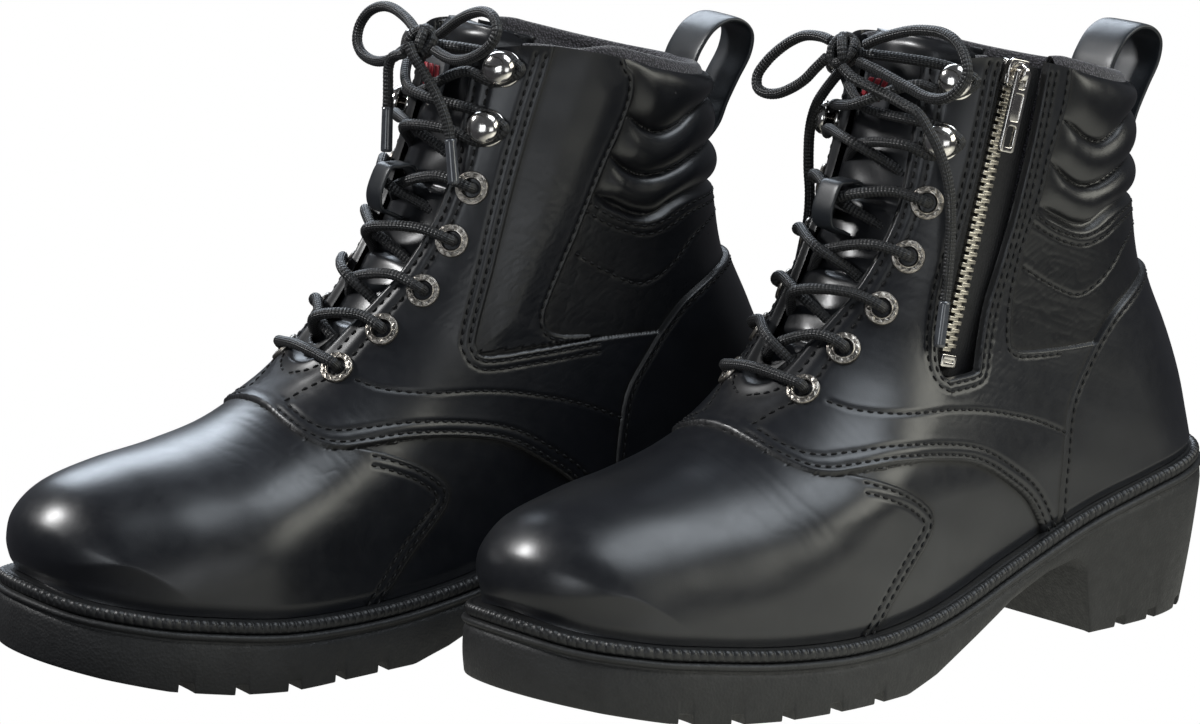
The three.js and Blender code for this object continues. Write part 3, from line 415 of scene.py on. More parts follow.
def rolls(f, z, side):
    """The padded rolls of the collar: full between their seams, and flat against the panel in front."""
    top = spline([(130, 206)] + TOPLINE[1:] + [(10, 186)], 60)
    bounds = [spline(line[::6], 260) for line in [top] + ROLL_SEAMS]
    front = STRIP_REAR if side > 0 else OVERLAY_REAR
    gap = distance(front, f, z, 30)
    fill = 0.25 + 0.75 * smoothstep(0, 9, gap)
    total = np.zeros_like(f)
    for upper, lower in zip(bounds[:-1], bounds[1:]):
        band = inside(outline([(140, upper[0][1] + 40)], upper, lower[::-1]), f, z)
        a, b = distance(upper, f, z, 40), distance(lower, f, z, 40)
        t = a / np.maximum(a + b, 1e-6)
        total = np.where(band, np.maximum(total, (4 * t * (1 - t)) ** 0.62), total)
    rolled = ROLL_HEIGHT * total - ROLL_FLOOR
    sunk = -ROLL_FLOOR * (1 - smoothstep(0, 4, distance(ROLL_SEAMS[-1], f, z, 8)))
    return np.where(inside(UNDER_ROLLS, f, z), sunk, rolled) * fill


def panels_at(f, z, side):
    """The number of the panel that shows at each place of one side."""
    kind = np.where(inside(REAR_PANEL, f, z), REAR_NO, SIDE_NO)
    kind[inside(VAMP, f, z)] = VAMP_NO
    quarter = inside(QUARTER_INNER if side > 0 else QUARTER_OUTER, f, z)
    if side < 0:
        kind[inside(OVERLAY, f, z) & (kind == REAR_NO)] = OVERLAY_NO
    kind[quarter] = QUARTER_NO
    if side > 0:
        kind[inside(ZIP_FACING, f, z) & quarter] = STRIP_NO
        kind[inside(ZIP_OPENING, f, z)] = OPEN
    kind[inside(THROAT, f, z) & ~quarter] = OPEN
    kind[inside(HEEL_COVER, f, z)] = HEEL_NO
    return kind


def relief(f, z, side):
    """How far the leather stands out from the plain surface at each place of one side."""
    f, z = np.asarray(f, float), np.asarray(z, float)
    kind = panels_at(f, z, side)
    rear = inside(REAR_PANEL, f, z)
    h = np.where(rear, LEVEL["rear"], LEVEL["side"])
    padded = rear & (f < 114)
    h[padded] = rolls(f[padded], z[padded], side)

    def lay(h, mask, level, *edges):
        gap = np.min([distance(edge, f, z, 9.0) for edge in edges], axis=0)
        t = smoothstep(0, EDGE_WIDTH, gap)
        crown = 0.1 * np.exp(-(((gap - 1.3) / 0.9) ** 2)) * t
        return np.where(mask, h + (level - h) * t + crown, h)

    h = lay(h, inside(VAMP, f, z), LEVEL["vamp"], VAMP_EDGE)
    if side > 0:
        h = lay(h, inside(QUARTER_INNER, f, z) | (kind == OPEN), LEVEL["quarter"], QUARTER_LOW, STRIP_REAR)
    else:
        # the smooth panel swells a little between its seams
        ends = [distance(edge, f, z, 14.0) for edge in (OVERLAY_FRONT, OVERLAY_REAR)]
        swell = smoothstep(2, 13, np.minimum(*ends))
        h = lay(h, inside(OVERLAY, f, z) & rear, LEVEL["overlay"] + 0.9 * swell, OVERLAY_REAR)
        h = lay(h, inside(QUARTER_OUTER, f, z) | (kind == OPEN), LEVEL["quarter"], QUARTER_LOW,
                OVERLAY_FRONT)
    h = lay(h, inside(HEEL_COVER, f, z), LEVEL["heel"], HEEL_EDGE)

    cut_edges = (FACING, ZIP_FRONT, ZIP_REAR) if side > 0 else (FACING,)
    free = np.min([distance(edge, f, z, 4.0) for edge in cut_edges], axis=0)
    h = h - CUT_DROP * (1 - smoothstep(0, 1.1, free)) * np.isin(kind, (OPEN, QUARTER_NO, STRIP_NO))
    for line, where, panels in STITCH_ROWS:
        if where in (0, side):
            gap = distance(line, f, z, 3.0)
            groove = 0.3 * np.exp(-((gap / 0.7) ** 2)) - 0.03 * np.exp(-(((gap - 1.5) / 0.8) ** 2))
            h = h - groove * np.isin(kind, panels)
    x = across(f, z, side)
    return h + waves(f, z, x) + creases(f, z, x)


# ------------------------------------------------------------------ making pieces

NO_TRIS = np.zeros((0, 3), int)


def mesh_of(name, points, quads, tris=None, flip=False, uv=None, shade=None):
    """A mesh from arrays; flip turns its faces over."""
    quads = np.asarray(quads, int).reshape(-1, 4)
    tris = NO_TRIS if tris is None else np.asarray(tris, int).reshape(-1, 3)
    if flip:
        quads, tris = quads[:, ::-1], tris[:, ::-1]
    used = np.zeros(len(points), bool)
    used[quads.ravel()] = True
    used[tris.ravel()] = True
    renumber = np.cumsum(used) - 1
    points, quads, tris = points[used], renumber[quads], renumber[tris]
    mesh = bpy.data.meshes.new(name)
    mesh.vertices.add(len(points))
    mesh.vertices.foreach_set("co", np.ascontiguousarray(points, np.float32).ravel())
    loops = np.concatenate([quads.ravel(), tris.ravel()])
    starts = np.concatenate([np.arange(len(quads)) * 4, len(quads) * 4 + np.arange(len(tris)) * 3])
    mesh.loops.add(len(loops))
    mesh.loops.foreach_set("vertex_index", loops.astype(np.int32))
    mesh.polygons.add(len(starts))
    mesh.polygons.foreach_set("loop_start", starts.astype(np.int32))
    mesh.update(calc_edges=True)
    mesh.validate()
    mesh.polygons.foreach_set("use_smooth", np.ones(len(mesh.polygons), bool))
    if uv is not None:
        layer = mesh.uv_layers.new(name="along")
        layer.data.foreach_set("uv", np.ascontiguousarray(uv[used][loops], np.float32).ravel())
    if shade is not None:
        layer = mesh.attributes.new("seam", "FLOAT", "POINT")
        layer.data.foreach_set("value", np.ascontiguousarray(shade[used], np.float32))
    return mesh


def add_piece(name, boot, shape, material, body=None, node=None, shade=None):
    """Places a (points, quads, tris, coordinates) shape on a boot, with its material, the body that it
    rides on and the node that it stands for."""
    points, quads, tris, uv = (tuple(shape) + (None, None))[:4]
    mesh = mesh_of(f"{boot}_{name}", placed(points, boot), quads, tris, boot == "left", uv, shade)
    mesh.materials.append(material)
    obj = bpy.data.objects.new(f"{boot}_{name}", mesh)
    bpy.context.scene.collection.objects.link(obj)
    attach(obj, f"{boot}_{body or 'boot'}")
    if node:
        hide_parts(f"{boot}_{node}")
    return obj


def gather(shapes):
    """Joins (points, quads, tris) shapes into one."""
    points, quads, tris, total = [], [], [], 0
    for p, q, t in shapes:
        points.append(np.asarray(p, float).reshape(-1, 3))
        quads.append(np.asarray(q, int).reshape(-1, 4) + total)
        tris.append(np.asarray(t, int).reshape(-1, 3) + total)
        total += len(points[-1])
    return np.concatenate(points), np.concatenate(quads), np.concatenate(tris)


def fan(start, count, centre, flip=False):
    """Triangles from a ring of points to the one in its middle."""
    k = np.arange(count)
    tris = np.stack([start + k, start + (k + 1) % count, np.full(count, centre)], 1)
    return tris[:, ::-1] if flip else tris


def closed_tube(rings):
    """A surface through rings of points, closed at both ends."""
    rows, sides = rings.shape[:2]
    total = rows * sides
    points = np.concatenate([rings.reshape(-1, 3), [rings[0].mean(0), rings[-1].mean(0)]])
    tris = np.concatenate([fan(0, sides, total, flip=True), fan(total - sides, sides, total + 1)])
    return points, grid_quads(rows, sides, closed=True), tris


def turned(profile, segments, origin, axis, engrave=None):
    """A solid of revolution: profile is [(radius, height)] from axis to axis, or closed on itself."""
    profile = np.array(profile, float)
    closed = profile[0][0] > 1e-6
    axis = unit(np.asarray(axis, float))
    helper = np.array([0, 0, 1.0]) if abs(axis[2]) < 0.9 else np.array([0, 1.0, 0])
    e1 = unit(np.cross(helper, axis))
    e2 = np.cross(axis, e1)
    angle = 2 * np.pi * np.arange(segments) / segments
    r = np.repeat(profile[:, 0][:, None], segments, 1)
    h = np.repeat(profile[:, 1][:, None], segments, 1)
    if engrave is not None:
        h = h + engrave(r, angle[None, :])
    ring = np.cos(angle)[None, :, None] * e1 + np.sin(angle)[None, :, None] * e2
    points = np.asarray(origin) + ring * r[..., None] + h[..., None] * axis
    rows = len(profile)
    quads = grid_quads(rows, segments, closed=True)
    if closed:
        last = (rows - 1) * segments
        k = np.arange(segments)
        quads = np.concatenate([quads, np.stack([last + k, last + (k + 1) % segments, (k + 1) % segments,
                                                 k], 1)])
    return points.reshape(-1, 3), quads, NO_TRIS


def frames_along(path):
    """Two directions across a path at each of its points, which turn as little as possible."""
    tangent = unit(np.gradient(path, axis=0))
    over = [unit(np.cross(tangent[0], [0.31, 0.17, 0.93]))]
    for t in tangent[1:]:
        over.append(unit(over[-1] - t * np.dot(over[-1], t)))
    return np.array(over), np.cross(tangent, over)


LACE_RADIUS = 1.8
BRAID = {"strands": 8, "pitch": 2.6, "depth": 0.12, "step": 0.42, "sides": 28}
UV_LENGTH = 10  # millimetres of cord for each unit of its coordinate


def braided_tube(path):
    """A round braided cord along a path, with closed ends, and coordinates along and round it."""
    step, sides = detail((BRAID["step"], BRAID["sides"]))
    count = max(8, int(length_of(path) / step))
    path = evenly(path, count)
    a, b = frames_along(path)
    angle = 2 * np.pi * np.arange(sides) / sides
    s = np.linspace(0, length_of(path), count)[:, None]
    r = np.full((count, sides), LACE_RADIUS)
    turns, pitches = BRAID["strands"] * angle[None, :], 2 * np.pi * s / BRAID["pitch"]
    r = r + BRAID["depth"] * (np.sin(turns + pitches) * np.sin(turns - pitches) - 0.4)
    ring = np.cos(angle)[None, :, None] * a[:, None, :] + np.sin(angle)[None, :, None] * b[:, None, :]
    points, quads, tris = closed_tube(path[:, None, :] + r[..., None] * ring)
    uv = np.stack(np.broadcast_arrays(s / UV_LENGTH, angle[None, :] / (2 * np.pi)), -1).reshape(-1, 2)
    return points, quads, tris, np.concatenate([uv, [[0, 0]], [[s[-1, 0] / UV_LENGTH, 0]]])


def arrays_of(bm):
    """A bmesh as (points, quads, tris); the bmesh is freed."""
    bm.verts.ensure_lookup_table()
    points = np.array([v.co for v in bm.verts])
    quads, tris = [[[v.index for v in f.verts] for f in bm.faces if len(f.verts) == n] for n in (4, 3)]
    bm.free()
    return points, np.array(quads, int).reshape(-1, 4), np.array(tris, int).reshape(-1, 3)


def box_shape(size, bevel):
    """A box centred on the origin with rounded edges, as (points, quads, tris)."""
    bm = bmesh.new()
    bmesh.ops.create_cube(bm, size=1)
    bmesh.ops.scale(bm, vec=size, verts=bm.verts)
    bmesh.ops.bevel(bm, geom=bm.edges[:], offset=bevel, segments=2, profile=0.5, affect="EDGES")
    return arrays_of(bm)


SILHOUETTE = outline(RIDGE_LINE, spline(TOPLINE, 60), BACK_LINE[::-1] + [0.6, 0], spline(FEATHER, 90)[::-1])
STITCH = {"pitch": 3.3, "length": 2.5, "radius": 0.42}
# one stitch: shares of its half length, shares of its radius, and heights over the leather
STITCH_RINGS = np.array([(-1, 0.15, -0.5), (-0.8, 0.8, -0.02), (-0.35, 1, 0.2), (0.35, 1, 0.2),
                         (0.8, 0.8, -0.02), (1, 0.15, -0.5)])


def stitches(line, side, panels):
    """The stitches of one row: short threads that dip into the leather at both ends."""
    line = evenly(line, 400)
    sewn = np.isin(panels_at(line[:, 0], line[:, 1], side), panels)
    f, z = line[sewn & inside(SILHOUETTE, line[:, 0], line[:, 1])].T
    base, _ = on_skin(f, z, side, 0.0)
    base = evenly(base, max(2, int(length_of(base) / STITCH["pitch"])))
    # the row's places back in side view
    f, z = -base[:, 1], base[:, 2]
    centre, normal = on_skin(f, z, side, relief(f, z, side))
    if len(centre) < 3:
        return np.zeros((0, 3)), np.zeros((0, 4), int), NO_TRIS
    tangent = unit(np.gradient(centre, axis=0))
    over = unit(np.cross(normal, tangent))
    rows, sides = len(STITCH_RINGS), 6
    angle = (2 * np.pi * np.arange(sides) / sides)[None, None, :]
    along, width, height = [STITCH_RINGS[:, i][None, :, None] * size
                            for i, size in enumerate((STITCH["length"] / 2, STITCH["radius"], 1))]
    shares = ((tangent, along), (over, width * np.cos(angle)), (normal, width * np.sin(angle) + height))
    points = centre[:, None, None, :] + sum(way[:, None, None, :] * share[..., None] for way,
                                            share in shares)
    one = grid_quads(rows, sides, closed=True)
    quads = (one[None] + np.arange(len(centre))[:, None, None] * rows * sides).reshape(-1, 4)
    return points.reshape(-1, 3), quads, NO_TRIS


# ------------------------------------------------------------------ materials

class Nodes:
    """A material's node tree, with short ways to add to it."""

    def __init__(self, name, **sockets):
        self.material = bpy.data.materials.new(name)
        self.material.use_nodes = True
        self.tree = self.material.node_tree
        self.shader = self.tree.nodes["Principled BSDF"]
        for key, value in sockets.items():
            self.shader.inputs[key.replace("_", " ")].default_value = value

    def add(self, kind, **settings):
        """A node with the given settings, each a socket's value or one of the node's own."""
        node = self.tree.nodes.new(kind)
        for key, value in settings.items():
            socket = key.replace("_", " ")
            if socket in node.inputs:
                node.inputs[socket].default_value = value
            else:
                setattr(node, key, value)
        return node

    def link(self, source, target):
        """Joins two sockets; a name stands for one of the shader's own."""
        self.tree.links.new(source, self.shader.inputs[target] if isinstance(target, str) else target)

    def math(self, operation, *values):
        """A Math node over sockets and numbers."""
        node = self.add("ShaderNodeMath", operation=operation)
        for socket, value in zip(node.inputs, values):
            if isinstance(value, (int, float)):
                socket.default_value = value
            else:
                self.link(value, socket)
        return node.outputs[0]

    def place(self, uv=False, scale=(1, 1, 1)):
        """Coordinates in the object's own space, or along and round a cord."""
        mapping = self.add("ShaderNodeMapping", Scale=scale)
        self.link(self.add("ShaderNodeTexCoord").outputs["UV" if uv else "Object"], mapping.inputs["Vector"])
        return mapping.outputs["Vector"]

    def noise(self, where, scale, detail_, rough):
        node = self.add("ShaderNodeTexNoise", Scale=scale, Detail=detail_, Roughness=rough)
        self.link(where, node.inputs["Vector"])
        return node.outputs["Fac"]

    def cells(self, where, scale, feature):
        node = self.add("ShaderNodeTexVoronoi", feature=feature, Scale=scale)
        self.link(where, node.inputs["Vector"])
        return node.outputs["Distance"]

    def spread(self, value, low, high, out_low, out_high):
        node = self.add("ShaderNodeMapRange", From_Min=low, From_Max=high, To_Min=out_low, To_Max=out_high)
        self.link(value, node.inputs["Value"])
        return node.outputs["Result"]

    def colours(self, value, dark, light, low=0.3, high=0.7):
        node = self.add("ShaderNodeValToRGB")
        for stop, at, colour in zip(node.color_ramp.elements, (low, high), (dark, light)):
            stop.position, stop.color = at, (*colour, 1)
        self.link(value, node.inputs["Fac"])
        return node.outputs["Color"]

    def bump(self, *layers):
        """Stacks (height, strength, distance in mm) bumps on the shader's normal."""
        normal = None
        for height, strength, depth in layers:
            node = self.add("ShaderNodeBump", Strength=strength, Distance=depth * MM)
            self.link(height, node.inputs["Height"])
            if normal is not None:
                self.link(normal, node.inputs["Normal"])
            normal = node.outputs["Normal"]
        self.link(normal, "Normal")


def mottled(name, dark, light, blots, rough, patches, ramp=(0.3, 0.7), **sockets):
    """A material whose colour changes in blots and whose shine changes in patches."""
    m = Nodes(name, **sockets)
    where = m.place()
    m.link(m.colours(m.noise(where, *blots), dark, light, *ramp), "Base Color")
    if patches:
        m.link(m.spread(m.noise(where, *patches), 0.3, 0.7, *rough), "Roughness")
    else:
        m.shader.inputs["Roughness"].default_value = rough
    return m, where


def leather_material(name, dark, light, rough, grain=1.0, coat=0.35):
    """Smooth finished leather: pores, fine wrinkles, cloudy polish, painted shade in the seams and along the
    cut edges, a thin wax.
    """
    m = Nodes(name, Coat_Weight=coat, Coat_Roughness=0.28, Coat_IOR=1.4, IOR=1.5)
    where = m.place()
    pores = m.spread(m.cells(where, 1900, "DISTANCE_TO_EDGE"), 0.0, 0.25, 0, 1)
    pull = m.noise(m.place(scale=(1, 1, 0.3)), 520, 5, 0.65)
    # the seam attribute mixes the colour towards near-black along the stitch rows and the panels' cut edges:
    # painted shade in their grooves
    seam = m.add("ShaderNodeAttribute", attribute_name="seam").outputs["Fac"]
    mix = m.add("ShaderNodeMix", data_type="RGBA")
    m.link(seam, mix.inputs["Factor"])
    m.link(m.colours(m.noise(where, 55, 5, 0.6), dark, light), mix.inputs["A"])
    mix.inputs["B"].default_value = SEAM_PAINTED_SHADE
    m.link(mix.outputs["Result"], "Base Color")
    polish = m.spread(m.noise(where, 190, 6, 0.65), 0.3, 0.75, *rough)
    m.link(m.math("MULTIPLY_ADD", seam, SEAM_DULLNESS, polish), "Roughness")
    m.bump((pores, 0.10 * grain, 0.06), (m.noise(where, 3000, 5, 0.7), 0.12 * grain, 0.05),
           (pull, 0.13 * grain, 0.14))
    return m.material


def rubber_material(name, dark, light, rough, grain):
    """Moulded rubber: a spark-eroded grain, dusty patches and small scuffs."""
    m, where = mottled(name, dark, light, (70, 6, 0.65), rough, (300, 5, 0.6), IOR=1.5)
    m.bump((m.noise(where, 1500, 5, 0.7), 0.5 * grain, 0.2), (m.cells(where, 950, "F1"), 0.45 * grain, 0.3))
    return m.material


def metal_material(name, colour, rough, tarnish):
    """Plated metal: soft wear in its shine and a darker film in places."""
    dark = tuple(c * (1 - tarnish) for c in colour)
    m, where = mottled(name, dark, colour, (420, 6, 0.65), rough, (900, 5, 0.6), (0.35, 0.6), Metallic=1.0)
    m.bump((m.noise(where, 1400, 5, 0.6), 0.12, 0.08))
    return m.material


def plain_material(name, dark, light, rough, scale=400, bump=0.2, **sockets):
    """Cloth, board and plastic: a little colour, shine and grain."""
    m, where = mottled(name, dark, light, (scale, 5, 0.6), (rough * 0.85, rough * 1.15),
                       (scale * 2, 4, 0.6), **sockets)
    m.bump((m.noise(where, scale * 3, 5, 0.65), bump, 0.15))
    return m.material


def thread_material():
    """Waxed sewing thread."""
    m, where = mottled("sewing_thread", (0.0025, 0.0025, 0.003), (0.006, 0.006, 0.007), (900, 3, 0.5), 0.6,
                       None, Specular_IOR_Level=0.3)
    m.bump((m.noise(where, 3000, 3, 0.6), 0.4, 0.1))
    return m.material


def braid_material():
    """Waxed braided cord: small slanting strands along and round it."""
    m = Nodes("lace_braid", Sheen_Weight=0.05, Sheen_Roughness=0.5, Roughness=0.42)
    along = m.add("ShaderNodeSeparateXYZ")
    m.link(m.place(uv=True), along.inputs["Vector"])
    wrap = m.math("MULTIPLY", along.outputs["Y"], BRAID["strands"])
    waves_ = []
    for turn in (1, -1):
        lean = m.math("MULTIPLY_ADD", along.outputs["X"], turn * UV_LENGTH / BRAID["pitch"], wrap)
        waves_.append(m.math("SINE", m.math("MULTIPLY", lean, 2 * math.pi)))
    weave = m.spread(m.math("MULTIPLY", *waves_), -1, 1, 0, 1)
    # the strands' crowns are painted lighter and the grooves between them darker, following the weave's
    # height: painted highlight and painted shade
    m.link(m.colours(weave, (0.0022, 0.0023, 0.0026), (0.0165, 0.017, 0.019), 0.35, 0.85), "Base Color")
    m.bump((weave, 0.6, 0.4), (m.noise(m.place(), 2600, 4, 0.6), 0.25, 0.1))
    return m.material


def mesh_material():
    """Knitted spacer mesh of the collar's lining: rows of small holes."""
    m = Nodes("lining_mesh_knit", Sheen_Weight=0.3, Sheen_Roughness=0.5, Roughness=0.85)
    where = m.place()
    holes = m.cells(where, 1250, "F1")
    # lighter on the raised knit and darker in the dips between, following the bump: painted shade in the
    # dips
    m.link(m.colours(holes, (0.07, 0.062, 0.075), (0.012, 0.011, 0.014), 0.15, 0.6), "Base Color")
    m.bump((m.spread(holes, 0.0, 0.7, 1, 0), 0.8, 0.5), (m.noise(where, 2400, 4, 0.6), 0.4, 0.15))
    return m.material


# the near-black colour that the seams and cut edges are painted: painted shade
SEAM_PAINTED_SHADE = (0.0016, 0.0016, 0.002, 1)
SEAM_DULLNESS = 0.16
LEATHER = leather_material("black_leather", (0.0045, 0.0052, 0.0075), (0.0085, 0.0095, 0.0125), (0.3, 0.4))
LEATHER_SOFT = leather_material("soft_collar_leather", (0.0042, 0.0046, 0.006), (0.0078, 0.0084, 0.01),
                                (0.27, 0.36), 1.5)
# the straps' leather: its rougher, duller finish is its own, and its lighter, greyer colour than the boot's
# leather is painted light, as the straps catch the light
LEATHER_STRAP = leather_material("strap_leather", (0.009, 0.011, 0.014), (0.016, 0.019, 0.023), (0.36, 0.47),
                                 1.6, 0.15)
RUBBER = rubber_material("sole_rubber", (0.007, 0.0074, 0.008), (0.015, 0.0156, 0.0165), (0.5, 0.66), 1.0)
WELT_RUBBER = rubber_material("welt_rubber", (0.006, 0.0063, 0.007), (0.012, 0.0125, 0.0135), (0.38, 0.5),
                              0.35)
NICKEL = metal_material("polished_nickel", (0.80, 0.77, 0.73), (0.10, 0.2), 0.25)
ANTIQUE = metal_material("antique_nickel", (0.50, 0.46, 0.41), (0.26, 0.4), 0.7)
ZIP_METAL = metal_material("zip_metal", (0.62, 0.58, 0.5), (0.28, 0.4), 0.5)
THREAD = thread_material()
BRAID_CORD = braid_material()
KNIT = mesh_material()
TAPE = plain_material("zip_tape", (0.006, 0.006, 0.007), (0.014, 0.014, 0.015), 0.8, 900, 0.5)
AGLET = plain_material("clear_aglet", (0.045, 0.048, 0.055), (0.075, 0.08, 0.09), 0.12, 300, 0.05,
                       Coat_Weight=0.6)
BADGE = plain_material("badge_rubber", (0.035, 0.036, 0.04), (0.055, 0.057, 0.062), 0.5, 500, 0.3)
BADGE_RED = plain_material("badge_red", (0.26, 0.012, 0.02), (0.34, 0.02, 0.03), 0.42, 500, 0.15)
BOARD = plain_material("pressed_board", (0.16, 0.11, 0.07), (0.25, 0.18, 0.12), 0.85)
STEEL = metal_material("plain_steel", (0.5, 0.5, 0.5), (0.3, 0.45), 0.3)
FOOTBED = plain_material("footbed_cloth", (0.02, 0.02, 0.022), (0.04, 0.04, 0.043), 0.9, 1200, 0.7)


# ------------------------------------------------------------------ camera and light

CAMERA_TURN, CAMERA_TIP = 51.76, 12.24  # degrees


def camera_at():
    """A long lens, low and to the front left of the wearer, as the pair was photographed."""
    data = bpy.data.cameras.new("camera")
    data.lens, data.sensor_width, data.clip_end = 185.7, 36, 50
    camera = bpy.data.objects.new("camera", data)
    bpy.context.scene.collection.objects.link(camera)
    turn, tip = math.radians(CAMERA_TURN), math.radians(CAMERA_TIP)
    look = Vector((-math.sin(turn) * math.cos(tip), math.cos(turn) * math.cos(tip), -math.sin(tip)))
    camera.location = (1.59626, -1.26728, 0.5377)
    camera.rotation_euler = look.to_track_quat("-Z", "Y").to_euler()
    bpy.context.scene.camera = camera


def area_light(name, place, aim, size, power, colour):
    """A soft box at a place, aimed at another."""
    data = bpy.data.lights.new(name, "AREA")
    data.shape, data.size, data.size_y = "RECTANGLE", size[0], size[1]
    data.energy, data.color = power, colour
    light = bpy.data.objects.new(name, data)
    bpy.context.scene.collection.objects.link(light)
    light.location = place
    light.rotation_euler = (Vector(aim) - Vector(place)).to_track_quat("-Z", "Y").to_euler()


FLOOR_HALF = 6.0
FLOOR_GLOW = (0.32, 0.05, 0.0)  # the middle of the lit patch of the sweep that the sides reflect
GLOW_COLOURS = ((1.2, 1.2, 1.08), (0.05, 0.05, 0.055))
GLOW_REACH = (0.1, 0.46)


def seen_as_white(tree, colour):
    """White to the camera, and a dim colour to everything that light from it falls on."""
    seen = tree.nodes.new("ShaderNodeLightPath")
    mix = tree.nodes.new("ShaderNodeMix")
    mix.data_type = "RGBA"
    mix.inputs["A"].default_value = colour
    mix.inputs["B"].default_value = (1, 1, 1, 1)
    tree.links.new(seen.outputs["Is Camera Ray"], mix.inputs["Factor"])
    return mix.outputs["Result"]


def studio():
    """A white sweep under large soft boxes: cool ones behind and overhead, and a warm glow from the side."""
    aim = (0, -0.05, 0.09)
    area_light("left_box", (-1.32, 0.66, 1.1), aim, (1.1, 0.8), 18, (0.8, 0.89, 1.0))
    area_light("toe_spot", (-0.85, -0.96, 1.12), (0, -0.14, 0.06), (0.24, 0.24), 19, (1.0, 1.0, 1.0))
    area_light("overhead_box", (0.6, 0.45, 1.5), aim, (1.1, 0.9), 16, (0.86, 0.93, 1.0))
    area_light("side_box", (1.25, 0.95, 0.7), (0.05, 0.0, 0.08), (1.4, 0.6), 11, (1.0, 0.99, 0.88))
    area_light("front_box", (0.9, -1.9, 0.5), aim, (0.8, 0.8), 6, (0.9, 0.95, 1.0))
    area_light("right_box", (1.6, -0.5, 0.25), aim, (0.8, 0.5), 2, (0.95, 0.98, 1.0))
    world = bpy.data.worlds.new("studio")
    world.use_nodes = True
    tree = world.node_tree
    tree.links.new(seen_as_white(tree, (0.07, 0.073, 0.08, 1)), tree.nodes["Background"].inputs["Color"])
    bpy.context.scene.world = world
    bpy.context.scene.view_settings.view_transform = "Standard"

    half = FLOOR_HALF
    points = np.array([(-half, -half, 0), (half, -half, 0), (half, half, 0), (-half, half, 0)], float)
    mesh = mesh_of("studio_floor", points, [(0, 1, 2, 3)])
    floor = bpy.data.objects.new("studio_floor", mesh)
    pale = Nodes("studio_floor_paint", Roughness=1.0, Base_Color=(0, 0, 0, 1), Specular_IOR_Level=0,
                 Emission_Strength=1)
    away = pale.add("ShaderNodeVectorMath", operation="DISTANCE")
    away.inputs[1].default_value = FLOOR_GLOW
    pale.link(pale.place(), away.inputs[0])
    colour = seen_as_white(pale.tree, (0, 0, 0, 1))
    pale.link(pale.colours(away.outputs["Value"], *GLOW_COLOURS, *GLOW_REACH), colour.node.inputs["A"])
    pale.link(colour, "Emission Color")
    mesh.materials.append(pale.material)
    bpy.context.scene.collection.objects.link(floor)


camera_at()
studio()

# ------------------------------------------------------------------ laces

EYELETS = [(177.5, 97.5), (162.3, 109.8), (148.6, 122.3), (138.1, 138.6), (130.6, 156)]
HOOKS = [(124.5, 175.8), (118.8, 195.6)]
LACING = np.array(EYELETS + HOOKS, float)
KNOT = np.array([-7.0, -138.6, 203.4])

